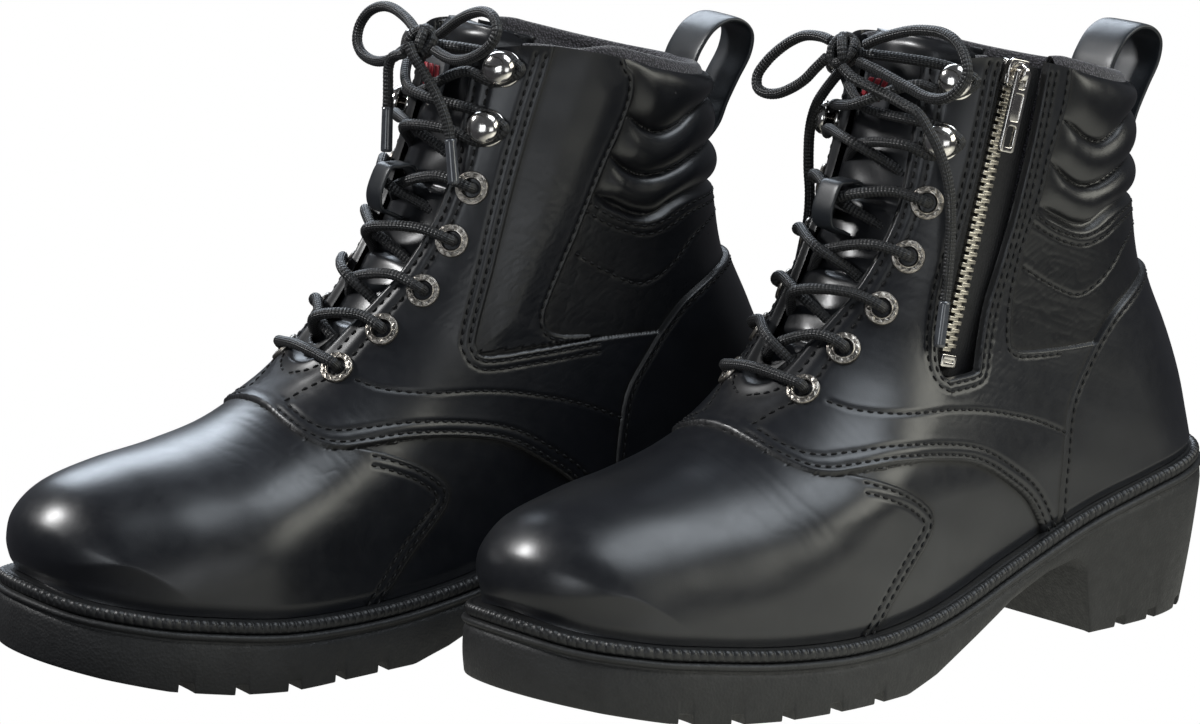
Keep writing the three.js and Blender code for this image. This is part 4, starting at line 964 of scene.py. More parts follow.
# Each bow: its loops and ends as (x, f, z) places along the lace.
BOWS = {
    "right": {
        "loop_inner": [(1.2, 136.8, 206.2), (6, 136.2, 208.6), (13, 135.5, 211), (20, 135, 213),
            (27, 134.5, 214.2), (37, 134.5, 214.5), (45, 135.5, 212.5), (51, 137, 208), (53, 138, 203),
            (50, 139.5, 197.5), (44, 140.3, 194.3), (36, 140.3, 193.8), (28, 140, 195.3), (20, 139.8, 197),
            (12, 139.6, 198.8), (6, 139.6, 200), (1.2, 139.6, 200.8)],
        "loop_outer": [(-15.1, 138, 205.6), (-20, 137.5, 206.2), (-29, 137.2, 205.6), (-35, 137.5, 203.4),
            (-41, 138.2, 199.8), (-46.5, 139.4, 195), (-50, 140.8, 189.6), (-48.8, 141.8, 186),
            (-44.5, 142.2, 184.6), (-38, 142, 185.2), (-31, 141.5, 188), (-25, 141, 191.6),
            (-20, 140.6, 196), (-15.1, 140, 200.2)],
        "end_inner": [(-1.6, 144.4, 199), (3.6, 144.4, 196.4), (9, 142.2, 194), (15, 139.2, 191.4),
            (21, 137.2, 189), (26, 135.4, 186.6), (30, 133.9, 181.2), (32.8, 132.4, 175.4),
            (34.8, 131, 169), (36, 130, 162), (36.2, 129.4, 155), (36, 129.2, 148), (36, 129.6, 141),
            (36.4, 130.6, 134), (37, 132, 127), (37.8, 133.8, 120)],
        "end_outer": [(-11.4, 134.6, 198.6), (-14.4, 134, 195.6), (-18.6, 133.6, 192),
            (-23.4, 133.2, 187.6), (-28, 132.8, 182.6), (-31.6, 132, 177), (-34.2, 131, 171),
            (-35.8, 130, 164.4), (-36.4, 129.4, 157.6), (-36.2, 129, 151), (-36.2, 129.2, 144.4),
            (-36.4, 130, 138), (-36.8, 131.2, 131.6)],
    },
    "left": {
        "loop_inner": [(1.2, 137.2, 206), (7, 136.2, 208), (14, 135.6, 209.8), (20, 135.4, 210.8),
            (26, 135.5, 210.8), (32, 136, 209.4), (37, 136.7, 206.6), (40.2, 137.8, 202),
            (39.6, 139, 197.6), (36, 139.8, 194.6), (30, 140.3, 193), (23, 140.6, 192.8), (16, 140.6, 194),
            (10, 140.4, 196.2), (5.4, 140, 198.8), (1.2, 139.6, 200.8)],
        "loop_outer": [(-15.1, 137, 207), (-20, 136, 210.2), (-26, 135.2, 213.6), (-33, 134.4, 216.4),
            (-40, 133.8, 217.8), (-47, 134.2, 216.8), (-51, 135.2, 213), (-50, 136.6, 209),
            (-45.6, 137.6, 205.6), (-40, 138.3, 203), (-34, 138.7, 201.2), (-28, 138.9, 200.4),
            (-21, 139, 200.8), (-15.1, 138.9, 201.8)],
        "end_inner": [(-2.6, 144.4, 199.2), (1.6, 143, 198.4), (6, 143.6, 196.8), (8, 144, 193),
            (7.6, 144.4, 188.6), (7, 144.8, 184), (6.6, 145.2, 179.6), (6.2, 145.6, 175)],
        "end_outer": [(-9.8, 146, 204), (-12, 145.4, 200), (-14.8, 143.4, 195.4), (-18, 141.6, 190.2),
            (-21, 140.2, 184.8), (-23.4, 139.2, 179.4), (-25, 138.8, 174), (-26.4, 139, 168.4)],
    },
}
TIP_STRAIGHT = 9.0  # how far each end runs on straight into its aglet
AGLET_LENGTH = 14.0
AGLET_PROFILE = [(0, 1.2), (1.5, 1.2), (1.95, 0.8), (2.0, 0), (1.9, -AGLET_LENGTH + 1), (2.0, -AGLET_LENGTH),
                 (0, -AGLET_LENGTH)]


def smooth_path(points, per=12):
    """A centripetal curve through points in space."""
    p = np.array(points, float)
    p = np.concatenate([[2 * p[0] - p[1]], p, [2 * p[-1] - p[-2]]])
    out = []
    for a, b, c, d in zip(p[:-3], p[1:-2], p[2:-1], p[3:]):
        t1 = max(np.linalg.norm(b - a), 1e-3) ** 0.5
        t2 = t1 + max(np.linalg.norm(c - b), 1e-3) ** 0.5
        t3 = t2 + max(np.linalg.norm(d - c), 1e-3) ** 0.5
        t = np.linspace(t1, t2, per, endpoint=False)[:, None]
        a1, a2 = a + (b - a) * t / t1, b + (c - b) * (t - t1) / (t2 - t1)
        a3 = c + (d - c) * (t - t2) / (t3 - t2)
        b1, b2 = a1 + (a2 - a1) * t / t2, a2 + (a3 - a2) * (t - t1) / (t3 - t1)
        out.append(b1 + (b2 - b1) * (t - t1) / (t2 - t1))
    return np.concatenate(out + [p[-2:-1]])


def free_laces(boot):
    """The bow's two loops and the two ends, each end in a clear aglet."""
    for name, route in BOWS[boot].items():
        path = smooth_path([(x, -f, z) for x, f, z in route])
        is_end = name.startswith("end")
        if is_end:
            path = np.concatenate([path, [path[-1] + unit(path[-1] - path[-6]) * TIP_STRAIGHT]])
        lace = add_piece(f"bow_{name}", boot, braided_tube(path), BRAID_CORD,
                         node=f"lace_{name}")
        if is_end:
            end = evenly(path, 60)
            tip = turned(AGLET_PROFILE, 20, end[-1], end[-1] - end[-3])
            add_piece(f"aglet_{name[4:]}", boot, tip, AGLET)


def row_place(row):
    """A place on the line of eyelets and hooks, counted in rows from the lowest eyelet."""
    low, high = LACING[int(math.floor(row))], LACING[min(int(math.ceil(row)), len(LACING) - 1)]
    return low + (high - low) * (row % 1)


def ridge_at(row):
    """The front line level with a lacing row: its place and its outward direction in side view."""
    line = spline(RIDGE, 161)
    i = 1 + int(np.argmin(np.hypot(*(line[1:-1] - row_place(row)).T)))
    a, b = line[i - 1], line[i + 1]
    return line[i], unit(np.array([b[1] - a[1], a[0] - b[0]]))


def on_middle(row, out):
    """A point in the middle plane, level with a lacing row and at a distance out from the front line."""
    place, normal = ridge_at(row)
    return np.array([0, -place[0] - normal[0] * out, place[1] + normal[1] * out])


def beside_row(row, share, side, out):
    """A point over the leather, at a share of the way from a lacing row to the front line."""
    place = row_place(row) * (1 - share) + ridge_at(row)[0] * share
    return on_skin(place[0], place[1], side, out)[0][0]


def lace_half(first, over):
    """One half of the lace from the bottom bar to the knot, in at each eyelet and across to the next."""
    points, side = [], first
    for row, (f, z) in enumerate(EYELETS):
        points.append(beside_row(row, 0.6, side, 3.8))
        points += [on_skin(f, z, side, out)[0][0] for out in (4.2, -1, -5.2)]
        points.append(beside_row(row + 0.35, 0.62, side, -5.0))
        side = -side
        points.append(on_middle(row + 0.62, 5.6 if over else 1.4))
    for index, (f, z) in enumerate(HOOKS):
        row = len(EYELETS) + index
        points.append(beside_row(row - 0.2, 0.6, side, 4.2))
        round_neck = ((f + 2, z - 4.6), (f - 4.6, z), (f, z + 4.6))
        points += [on_skin(*place, side, 3.4)[0][0] for place in round_neck]
        side = -side
        if index == 0:
            points.append(on_middle(row + 0.3, 7.6 if over else 3.6))
    return points


def held_lace(boot):
    """The crossed lacing, made as one cord with its knot on top."""
    points = [KNOT] + lace_half(-1, False)[::-1] + [on_middle(0, 3.8)] + lace_half(1, True) + [KNOT]
    cords = [braided_tube(smooth_path(points))]
    for tilt, lean, reach in ((0.25, 0.0, 1.0), (1.35, 0.5, 0.92), (-0.85, -0.4, 0.9)):
        angle = np.linspace(0, 2 * np.pi, 26)
        ring = np.stack([4.6 * np.cos(angle) * reach, 3.0 * np.sin(angle), 3.6 * np.sin(angle + lean)], 1)
        c, s = math.cos(tilt), math.sin(tilt)
        ring = np.stack([ring[:, 0] * c - ring[:, 2] * s, ring[:, 1] - 0.8,
                         ring[:, 0] * s + ring[:, 2] * c], 1)
        cords.append(braided_tube(KNOT + ring))
    shape = gather([cord[:3] for cord in cords]) + (np.concatenate([cord[3] for cord in cords]),)
    add_piece("lacing", boot, shape, BRAID_CORD, node="lace")


for boot in BOOTS:
    free_laces(boot)

# ------------------------------------------------------------------ the leather upper

EDGES = [(FACING, 0), (ZIP_FRONT, 1), (ZIP_REAR, 1), (QUARTER_LOW, 0), (VAMP_EDGE, 0), (HEEL_EDGE, 0),
         (STRIP_REAR, 1), (OVERLAY_FRONT, -1), (OVERLAY_REAR, -1)]


def build_upper():
    """The relief of the whole upper, worked out once: its points, faces and which panel each face is."""
    half, rows = detail((430, 340))
    skin = Skin(half, rows)
    skin.snap(EDGES)
    height, seam = np.zeros_like(skin.f), np.zeros_like(skin.f)
    columns = np.arange(skin.f.shape[1])
    for side, pick in ((1, columns <= skin.half), (-1, columns > skin.half)):
        height[:, pick] = relief(skin.f[:, pick], skin.z[:, pick], side)
        seam[:, pick] = seam_shade(skin.f[:, pick], skin.z[:, pick], side)
    for k in (0, skin.half):
        height[:, k] = (height[:, k - 1] + height[:, (k + 1) % len(columns)]) / 2
    # the lower edge tucks in against the welt
    tuck = np.linspace(0, 1, rows + 1)[:, None]
    height -= 0.8 * (1 - smoothstep(0, 0.02, tuck))
    points = skin.points() + skin.outward * height[..., None]
    flat_f, flat_z = skin.f.ravel(), skin.z.ravel()
    faces, kinds, sides = skin.faces(), [], []
    for corners in faces:
        face_f, face_z = flat_f[corners].mean(1), flat_z[corners].mean(1)
        side = np.where(np.isin(corners % len(columns), np.arange(skin.half + 1)).all(1), 1, -1)
        kinds.append(np.where(side > 0, *[panels_at(face_f, face_z, which) for which in (1, -1)]))
        sides.append(side)
    return points.reshape(-1, 3), faces, kinds, sides, seam.ravel()


def seam_shade(f, z, side):
    """How near each place is to a seam or a cut edge, from 0 to 1, for painted shade and a duller polish
    there.
    """
    shade = np.zeros_like(f)
    kind = panels_at(f, z, side)
    for line, where, panels in STITCH_ROWS:
        if where in (0, side):
            near = 0.75 * np.exp(-((distance(line, f, z, 3.0) / 0.8) ** 2))
            shade = np.maximum(shade, near * np.isin(kind, panels))
    for line, where in EDGES:
        if where in (0, side):
            shade = np.maximum(shade, np.exp(-((distance(line, f, z, 3.0) / 1.0) ** 2)))
    return shade


UPPER = build_upper()
# Each panel's name, its number, and the side that it is on, where 0 is both.
PANELS = [("vamp", VAMP_NO, 0), ("collar", REAR_NO, 0), ("shaft_panel", OVERLAY_NO, 0),
          ("zip_facing", STRIP_NO, 0), ("heel_cover", HEEL_NO, 0), ("side_panel_inner", SIDE_NO, 1),
          ("side_panel_outer", SIDE_NO, -1), ("quarter_inner", QUARTER_NO, 1),
          ("quarter_outer", QUARTER_NO, -1)]


def upper_panels(boot):
    """The leather panels of one boot."""
    points, (quads, tris), (quad_kind, tri_kind), (quad_side, tri_side), seam = UPPER
    for name, number, which in PANELS:
        quad_pick = (quad_kind == number) & ((quad_side == which) | (which == 0))
        tri_pick = (tri_kind == number) & ((tri_side == which) | (which == 0))
        material = LEATHER_SOFT if name == "collar" else LEATHER
        panel = add_piece(f"leather_{name}", boot, (points, quads[quad_pick], tris[tri_pick]), material,
                          node=name, shade=seam)


STITCHES = gather([stitches(line, side, panels) for line, where, panels in STITCH_ROWS
                   for side in (1, -1) if where in (0, side)])


# ------------------------------------------------------------------ tongue, lining and footbed

TONGUE_DEPTH = 3.6
TONGUE_AT = -6.4  # the height of its middle layer over the front line


def tongue():
    """The padded tongue: a quilted pad bent round the front line, whose sides run under the facings."""
    ridge = spline([(203, 83.5)] + RIDGE[7:] + [(125.6, 210)], detail(220))
    step = unit(np.gradient(ridge, axis=0))
    normal = np.stack([step[:, 1], -step[:, 0]], 1)
    up = np.linspace(0, 1, len(ridge))[:, None]
    half = 31 - 5 * smoothstep(0.75, 1, up) ** 2
    turn = np.linspace(-1, 1, detail(121))[None, :]
    x = half * np.sin(turn * np.pi / 2)
    reach, width = table(ridge[:, 1], *FRONT_ROUND)[:, None], 37.5
    gap = reach * (1 - (1 - np.clip(np.abs(x) / width, 0, 0.995) ** ROUND_POWER) ** (1 / ROUND_POWER))
    pad = 1 - smoothstep(15, 25, np.abs(x))
    quilt = sum(np.exp(-(((up - at) * 150 / 1.9) ** 2)) for at in (0.30, 0.47, 0.64))
    puff = 2.6 * pad * (1 - 0.75 * quilt)
    puff = puff + 0.35 * np.sin(x * 0.21 + up * 23) * pad * np.sin(up * 41 + x * 0.1)
    rim = smoothstep(0.965, 1, up) ** 2
    side_drop = 1.6 * smoothstep(22, 30, np.abs(x))
    thick = TONGUE_DEPTH * (1 - smoothstep(24, 31, np.abs(x))) * (0.35 + 0.65 * pad)
    front = TONGUE_AT + puff - 1.8 * rim - side_drop
    back = TONGUE_AT - side_drop - thick + 1.2 * rim
    rows = []
    for lift in (front, back[:, ::-1]):
        sign = 1 if lift is front else -1
        place = ridge[:, None, :] + normal[:, None, :] * (lift - gap)[..., None]
        rows.append(np.stack([sign * x, -place[..., 0], place[..., 1]], -1))
    return closed_tube(np.concatenate([rows[0], rows[1][:, 1:-1]], 1))


TONGUE = tongue()


LINING_DEPTH = 5.4


def lining():
    """The knit lining: a soft cuff round the top edge, then down inside the shaft and along the foot."""
    skin = Skin(detail(170), detail(150))
    throat_edge = offset(FACING, 9.0)[14:]
    slot_front, slot_rear = offset(ZIP_FRONT, 5.0), offset(ZIP_REAR, 5.0)
    skin.snap([(throat_edge, 0), (slot_front, 1), (slot_rear, 1)])
    f, z = skin.f[-1], skin.z[-1]
    top = skin.points()[-1]
    inward = -skin.outward[-1]
    rear = 1 - smoothstep(78, 100, f)
    rings = []
    for t in np.linspace(0, 1, detail(15)):
        angle = np.pi * t
        depth = 1.6 + (1 - np.cos(angle)) * (1.3 + 1.6 * rear)
        rise = np.sin(angle) * (0.8 + 4.0 * rear) - 1.4
        rings.append(top + inward * depth[:, None] + np.array([0, 0, 1.0]) * rise[:, None])
    sleeve = (skin.points() - skin.outward * LINING_DEPTH)[::-1]
    fade = np.linspace(1, 0, len(sleeve))[:, None, None]
    sleeve += (inward * (3.2 * rear - 0.2)[:, None])[None] * fade
    points = np.concatenate([np.array(rings), sleeve[2:]])
    quads = grid_quads(points.shape[0], points.shape[1], closed=True)
    f, z = [np.concatenate([np.repeat(part[-1:], len(rings), 0), part[::-1][2:]]).ravel()[quads].mean(1)
            for part in (skin.f, skin.z)]
    side = np.broadcast_to(skin.side[-1], points.shape[:2]).reshape(-1)[quads].mean(1)
    throat = inside(outline(throat_edge, [(100, 215), (330, 215), (330, 100)]), f, z)
    slot = inside(outline(slot_front, slot_rear), f, z) & (side > 0)
    return points.reshape(-1, 3), quads[~throat & ~slot]


LINING = lining()


SHELL = {"outer": 3.2, "inner": 4.6, "top": 96}  # depths under the leather, and the greatest height


def stiffener(low, high, columns=90):
    """A moulded shell inside the leather, for the part of the foot between two places along it."""
    skin = Skin(columns, columns)
    keep = (skin.f > low) & (skin.f < high) & (skin.z < SHELL["top"])
    quads = skin.quads()
    quads = quads[keep.ravel()[quads].all(1)]
    outer, inner = [(skin.points() - skin.outward * SHELL[face]).reshape(-1, 3)
                    for face in ("outer", "inner")]
    total = len(outer)
    edges = np.concatenate([quads[:, [i, (i + 1) % 4]] for i in range(4)])
    key = np.sort(edges, 1) @ np.array([total, 1])
    _, first, count = np.unique(key, return_index=True, return_counts=True)
    rim = edges[first[count == 1]]
    wall = np.stack([rim[:, 1], rim[:, 0], rim[:, 0] + total, rim[:, 1] + total], 1)
    return np.concatenate([outer, inner]), np.concatenate([quads, quads[:, ::-1] + total, wall])


STIFFENERS = {"toe_cap": (stiffener(236, 400), STEEL, "toe_steel"),
              "heel_counter": (stiffener(-50, 70), BOARD, "board")}


def soft_parts(boot):
    """The tongue, the lining and the stiffeners behind the leather."""
    add_piece("padded_tongue", boot, TONGUE, LEATHER_SOFT, node="tongue")
    add_piece("knit_lining", boot, LINING, KNIT, node="lining")
    for name, (shape, material, slot) in STIFFENERS.items():
        add_piece(f"{name}_shell", boot, shape, material, node=name)


# ------------------------------------------------------------------ eyelets, hooks, badge and keeper

def eyelet_shapes(side):
    """Five ring eyelets, engraved with a band of leaves round their faces."""
    def leaves(r, angle):
        wave = np.abs((angle * 12 / np.pi) % 2 - 1)
        vein = np.exp(-(((r - 3.95 - 1.15 * wave) / 0.22) ** 2))
        rims = np.exp(-(((r - 3.75) / 0.14) ** 2)) + np.exp(-(((r - 5.2) / 0.14) ** 2))
        band = smoothstep(3.6, 3.8, r) * (1 - smoothstep(5.2, 5.35, r))
        return -0.2 * band + 0.24 * vein * band - 0.1 * rims

    shapes = []
    face = [(r, 1.86 - 0.035 * (r - 4.3) ** 2) for r in np.linspace(3.45, 5.3, 16)]
    profile = [(3.05, -3), (3.05, 0.9), (3.2, 1.5)] + face + [(5.5, 1.45), (5.65, 1.0), (5.65, 0.4),
                                                              (3.9, 0.3), (3.9, -3)]
    for f, z in EYELETS:
        spot, normal = on_skin(f, z, side, LEVEL["quarter"] - 0.5)
        shapes.append(turned(profile, detail(96), spot[0], normal[0], leaves))
    return shapes


def hook_shapes(side):
    """Two lace hooks: a round plate riveted to the leather with a polished ball over it."""
    plate = [(0, -1), (6.3, -1), (6.4, 0.35), (6.1, 0.75), (5.2, 0.95), (0, 1.0)]
    ball = [(0, -1), (1.9, -1), (1.9, 3.9), (3.6, 3.9), (5.0, 4.0), (5.6, 4.3), (5.75, 4.8), (5.6, 5.7),
            (5.0, 6.7), (3.9, 7.5), (2.6, 8.0), (1.3, 8.25), (0, 8.3)]
    shapes = []
    for f, z in HOOKS:
        spot, normal = on_skin(f, z, side, LEVEL["quarter"] - 0.3)
        shapes.append(turned(plate, detail(64), spot[0], normal[0]))
        lean = normal[0] + np.array([0, -0.10, 0.02])
        shapes.append(turned(ball, detail(64), spot[0], lean))
    return shapes


def metal_fittings(boot):
    for side, word in ((1, "inner"), (-1, "outer")):
        points, quads, tris = gather(eyelet_shapes(side))
        add_piece(f"eyelet_rings_{word}", boot, (points, quads, tris), ANTIQUE,
                  node=f"eyelet_stay_{word}")
        points, quads, tris = gather(hook_shapes(side))
        add_piece(f"lace_hooks_{word}", boot, (points, quads, tris), NICKEL)


def flat_section(angle, half, thick, power):
    """A rounded flat section: places across and through it at some angles round it."""
    c, s = np.cos(angle), np.sin(angle)
    return np.sign(c) * np.abs(c) ** power * half, np.sign(s) * np.abs(s) ** power * thick / 2


def slab(rows, half, thick):
    """A strip of leather along places [(y, z, normal y, normal z)], with rounded sides."""
    rows = np.array(rows, float)
    w, d = flat_section(np.linspace(0, 2 * np.pi, 40, endpoint=False), half, thick, 0.5)
    y = rows[:, 0:1] + rows[:, 2:3] * d
    z = rows[:, 1:2] + rows[:, 3:4] * d
    return closed_tube(np.stack([np.broadcast_to(w, y.shape), y, z], -1))


def strip_rows(line):
    """Places and normals along a side-view line, for a strip across the boot."""
    step = unit(np.gradient(line, axis=0))
    return np.stack([-line[:, 0], line[:, 1], step[:, 1], step[:, 0]], 1)


def keeper_strip():
    """The leather loop on the tongue that the lace runs through."""
    def spot(row, out):
        p = on_middle(row, out)
        return (-p[1], p[2])

    line = spline([spot(3.1, -2.5), spot(3.06, 0.5), spot(3.07, 5.4), spot(3.2, 8.0), spot(3.55, 8.8),
                   spot(3.85, 8.2), spot(3.98, 5.4), spot(4.0, 0.5), spot(3.96, -2.5)], 60)
    return slab(strip_rows(line), 5.0, 1.5)


def badge_shapes():
    """A small rubber badge on the tongue with three slanted bars."""
    a, b = on_middle(5.22, 0.2), on_middle(5.98, 0.2)
    up = unit(b - a)
    out = np.cross([1.0, 0, 0], up)
    centre = (a + b) / 2
    rotate = np.stack([np.array([1.0, 0, 0]), up, out], 1)
    base, quads, tris = box_shape((14, 13, 2.2), 0.9)
    shapes = [(centre + base @ rotate.T - out * 0.6, quads, tris)]
    bars = []
    for i in (-1, 0, 1):
        bar, quads, tris = box_shape((2.3, 7.6, 1.0), 0.35)
        bar = bar + np.outer(bar[:, 1], [0.35, 0, 0]) + np.array([i * 3.7, 0, 0.7])
        bars.append((centre + bar @ rotate.T, quads, tris))
    return gather(shapes), gather(bars)


def trims(boot):
    points, quads, tris = keeper_strip()
    add_piece("lace_loop_strip", boot, (points, quads, tris), LEATHER_STRAP, node="lace_keeper")
    base, bars = badge_shapes()
    add_piece("badge_base", boot, base, BADGE, node="tongue_badge")
    add_piece("badge_bars", boot, bars, BADGE_RED)
    path = spline([(35.5, 184), (34.5, 187.3), (32, 192.5), (27, 198.6), (20.5, 201.6), (14.6, 200.4),
                   (11.2, 196), (12.4, 189), (17.2, 181), (21.4, 173.5), (24.6, 166.5), (29, 161.5),
                   (33, 158.5)], 120)
    points, quads, tris = slab(strip_rows(path), 10.3, 2.1)
    add_piece("pull_loop_strap", boot, (points, quads, tris), LEATHER_STRAP, node="pull_loop")

# ------------------------------------------------------------------ the side zip

ZIP_TOP = np.array([32.8, -100.6, 200.0])
ZIP_FOOT = np.array([30.2, -126.6, 104.0])
ZIP_LENGTH = float(np.linalg.norm(ZIP_FOOT - ZIP_TOP))
ZIP_PITCH = 2.6
PULL_AT = (1.5, 6.6)


def zip_axes():
    down = (ZIP_FOOT - ZIP_TOP) / ZIP_LENGTH
    out = np.array([1.0, 0, 0]) - down * down[0]
    out /= np.linalg.norm(out)
    return np.stack([down, np.cross(out, down), out])


ZIP_AXES = zip_axes()


def on_zip(shape, at=(0, 0, 0)):
    """A shape moved from the zip's own frame (down the chain, back across it, out of the boot)."""
    points, quads, tris = shape
    return ZIP_TOP + (np.asarray(points) + np.asarray(at)) @ ZIP_AXES, quads, tris


def ring_outline(x0, y0, x1, y1, corner, steps=6):
    """A rectangle with round corners, as a list of points."""
    points = []
    for cx, cy, start in ((x1 - corner, y1 - corner, 0), (x0 + corner, y1 - corner, 90),
                          (x0 + corner, y0 + corner, 180), (x1 - corner, y0 + corner, 270)):
        for step in range(steps + 1):
            angle = math.radians(start + 90 * step / steps)
            points.append((cx + corner * math.cos(angle), cy + corner * math.sin(angle)))
    return points


def plate(outlines, thick, bevel):
    """A flat plate with holes and rounded edges, from its outline and those of its holes."""
    curve = bpy.data.curves.new("plate", "CURVE")
    curve.dimensions, curve.fill_mode = "2D", "BOTH"
    curve.extrude, curve.bevel_depth, curve.bevel_resolution = thick / 2 - bevel, bevel, 2
    curve.offset = -bevel
    for points in outlines:
        line = curve.splines.new("POLY")
        line.points.add(len(points) - 1)
        for spot, (x, y) in zip(line.points, points):
            spot.co = (x, y, 0, 1)
        line.use_cyclic_u = True
    obj = bpy.data.objects.new("plate", curve)
    mesh = bpy.data.meshes.new_from_object(obj)
    bm = bmesh.new()
    bm.from_mesh(mesh)
    bmesh.ops.remove_doubles(bm, verts=bm.verts, dist=1e-4)
    bmesh.ops.triangulate(bm, faces=[f for f in bm.faces if len(f.verts) > 4])
    bmesh.ops.recalc_face_normals(bm, faces=bm.faces)
    shape = arrays_of(bm)
    bpy.data.objects.remove(obj)
    bpy.data.meshes.remove(mesh)
    bpy.data.curves.remove(curve)
    return shape


def zip_tape():
    """Woven tape, ribbed along its length, with a rolled cord beside each row of teeth."""
    x = np.linspace(-1, ZIP_LENGTH + 6, detail(320))
    y = np.linspace(-7, 14, detail(90))
    gx, gy = np.meshgrid(x, y, indexing="ij")
    ribs = 0.07 * np.sin(2 * np.pi * gy / 1.1) + 0.05 * np.sin(2 * np.pi * (gx / 1.3 + gy / 2.2))
    cord = 0.55 * np.exp(-(((np.abs(gy) - 3.4) / 0.7) ** 2))
    top = np.stack([gx, gy, ribs + cord - 0.1], -1)
    low = np.stack([gx, gy, np.full_like(gx, -0.8)], -1)
    rows, columns = gx.shape
    face = grid_quads(rows, columns)
    rim = np.concatenate([np.arange(columns), np.arange(1, rows) * columns + columns - 1,
                          (rows - 1) * columns + np.arange(columns - 2, -1, -1),
                          np.arange(rows - 2, 0, -1) * columns])
    ahead = np.roll(rim, -1)
    total = rows * columns
    wall = np.stack([rim, ahead, ahead + total, rim + total], 1)
    points = np.concatenate([top.reshape(-1, 3), low.reshape(-1, 3)])
    return points, np.concatenate([face, face[:, ::-1] + total, wall[:, ::-1]]), NO_TRIS


def zip_teeth():
    """Metal teeth, clamped to the two cords in turn, and the block that ends the chain."""
    tooth, quads, tris = box_shape((1.55, 4.0, 2.1), 0.35)
    tooth = tooth - np.outer(np.abs(tooth[:, 1]) * 0.05, [0, 0, 1])
    shapes = []
    for i in range(int((ZIP_LENGTH - 9) / (ZIP_PITCH / 2))):
        side = 1 if i % 2 else -1
        shapes.append(on_zip((tooth, quads, tris), (8 + i * ZIP_PITCH / 2, side * 0.95, 0.95)))
    stop = plate([ring_outline(-2.2, -3.4, 2.2, 3.4, 0.9), ring_outline(-0.35, -2.1, 0.35, 2.1, 0.3)[::-1]],
                 2.8, 0.3)
    core = on_zip(box_shape((3.4, 5.8, 2.0), 0.3), (ZIP_LENGTH + 0.7, 0, 1.5))
    return gather(shapes), gather([core, on_zip(stop, (ZIP_LENGTH + 0.7, 0, 1.6))])


def arch(path, width, thick):
    """A flat bar bent along a path of (x, z) places in the zip's frame."""
    line = spline(path, 24)
    step = unit(np.gradient(line, axis=0))
    angle = np.linspace(0, 2 * np.pi, 16, endpoint=False) + np.pi / 16
    w, d = flat_section(angle, width / 2, thick, 0.55)
    x = line[:, 0:1] - step[:, 1:2] * d
    z = line[:, 1:2] + step[:, 0:1] * d
    points, quads, tris = closed_tube(np.stack([x, np.broadcast_to(w, x.shape), z], -1))
    return points, quads[:, ::-1], tris[:, ::-1]


def slider_shape():
    """The slider: a top plate over side walls round the teeth, and a bridge that holds the pull."""
    plan = [(-2.4, -3.4), (-1.2, -4.4), (1.5, -4.6), (4.4, -4.2), (7.0, -3.3), (7.0, 3.3), (4.4, 4.2),
            (1.5, 4.6), (-1.2, 4.4), (-2.4, 3.4)]
    smooth = spline(plan + plan[:1], 60)[:-1]
    top = plate([smooth[::-1]], 1.3, 0.4)
    shapes = [on_zip(top, (0, 0, 3.75))]
    for side in (1, -1):
        wall, quads, tris = box_shape((8.2, 1.1, 3.2), 0.3)
        wall = wall + np.outer(1 - (wall[:, 0] / 5.5) ** 2, [0, 0.25 * side, 0])
        shapes.append(on_zip((wall, quads, tris), (2.3, side * 3.75, 1.95)))
    x, z = PULL_AT
    shapes.append(on_zip(arch([(x - 2.6, 4.2), (x - 2.4, 6.0), (x - 1.5, 7.8), (x + 0.2, 8.25),
                               (x + 2.0, 7.8), (x + 2.9, 6.2), (x + 3.1, 4.2)], 2.3, 1.0)))
    return gather(shapes)


def pull_shape():
    """The pull: a plate with an eye at its top, a sunk panel, and a long window at its foot."""
    x, z = PULL_AT
    eye = ring_outline(0.8, -1.7, 5.6, 1.7, 1.0)[::-1]
    panel = ring_outline(7.4, -1.9, 16.4, 1.9, 0.6)[::-1]
    window = ring_outline(18.2, -1.8, 25.2, 1.8, 0.9)[::-1]
    frame_ = plate([ring_outline(-0.8, -3.25, 27, 3.25, 1.4), eye, panel, window], 1.5, 0.28)
    floor = plate([ring_outline(7.0, -2.2, 16.8, 2.2, 0.6)], 0.7, 0.1)
    return gather([on_zip(frame_, (x, 0, z)), on_zip(floor, (x, 0, z))])


TEETH, STOP = zip_teeth()
ZIP_SHAPES = [("zip_tape_weave", on_zip(zip_tape()), TAPE, None, "zip_chain"),
              ("zip_teeth", TEETH, ZIP_METAL, None, None),
              ("zip_stop", STOP, NICKEL, None, None),
              ("zip_slider_body", slider_shape(), NICKEL, "zip_slider", "zip_slider"),
              ("zip_pull_tab", pull_shape(), NICKEL, "zip_pull", "zip_pull")]


def side_zip(boot):
    """The zip of one boot."""
    for name, shape, material, body, node in ZIP_SHAPES:
        add_piece(name, boot, shape, material, body=body, node=node)


# ------------------------------------------------------------------ welt and sole

HEEL_END = 62.0
UNDERSIDE = [(-16, 2), (4, 0), (62, 0), (64, 8), (68, 25), (74, 29), (90, 27), (110, 21.5), (130, 12.5),
             (150, 4), (164, 0), (215, 0), (235, 1.2), (255, 4.2), (272, 8.2), (300, 16)]
GROOVES = {"at": (14, 32, 48, 178, 196, 214, 232, 250), "width": 5.0, "depth": 3.4}
SOLE_PROUD = 5.2
HEEL_TAPER = -1.5
RIB_PITCH = 3.1


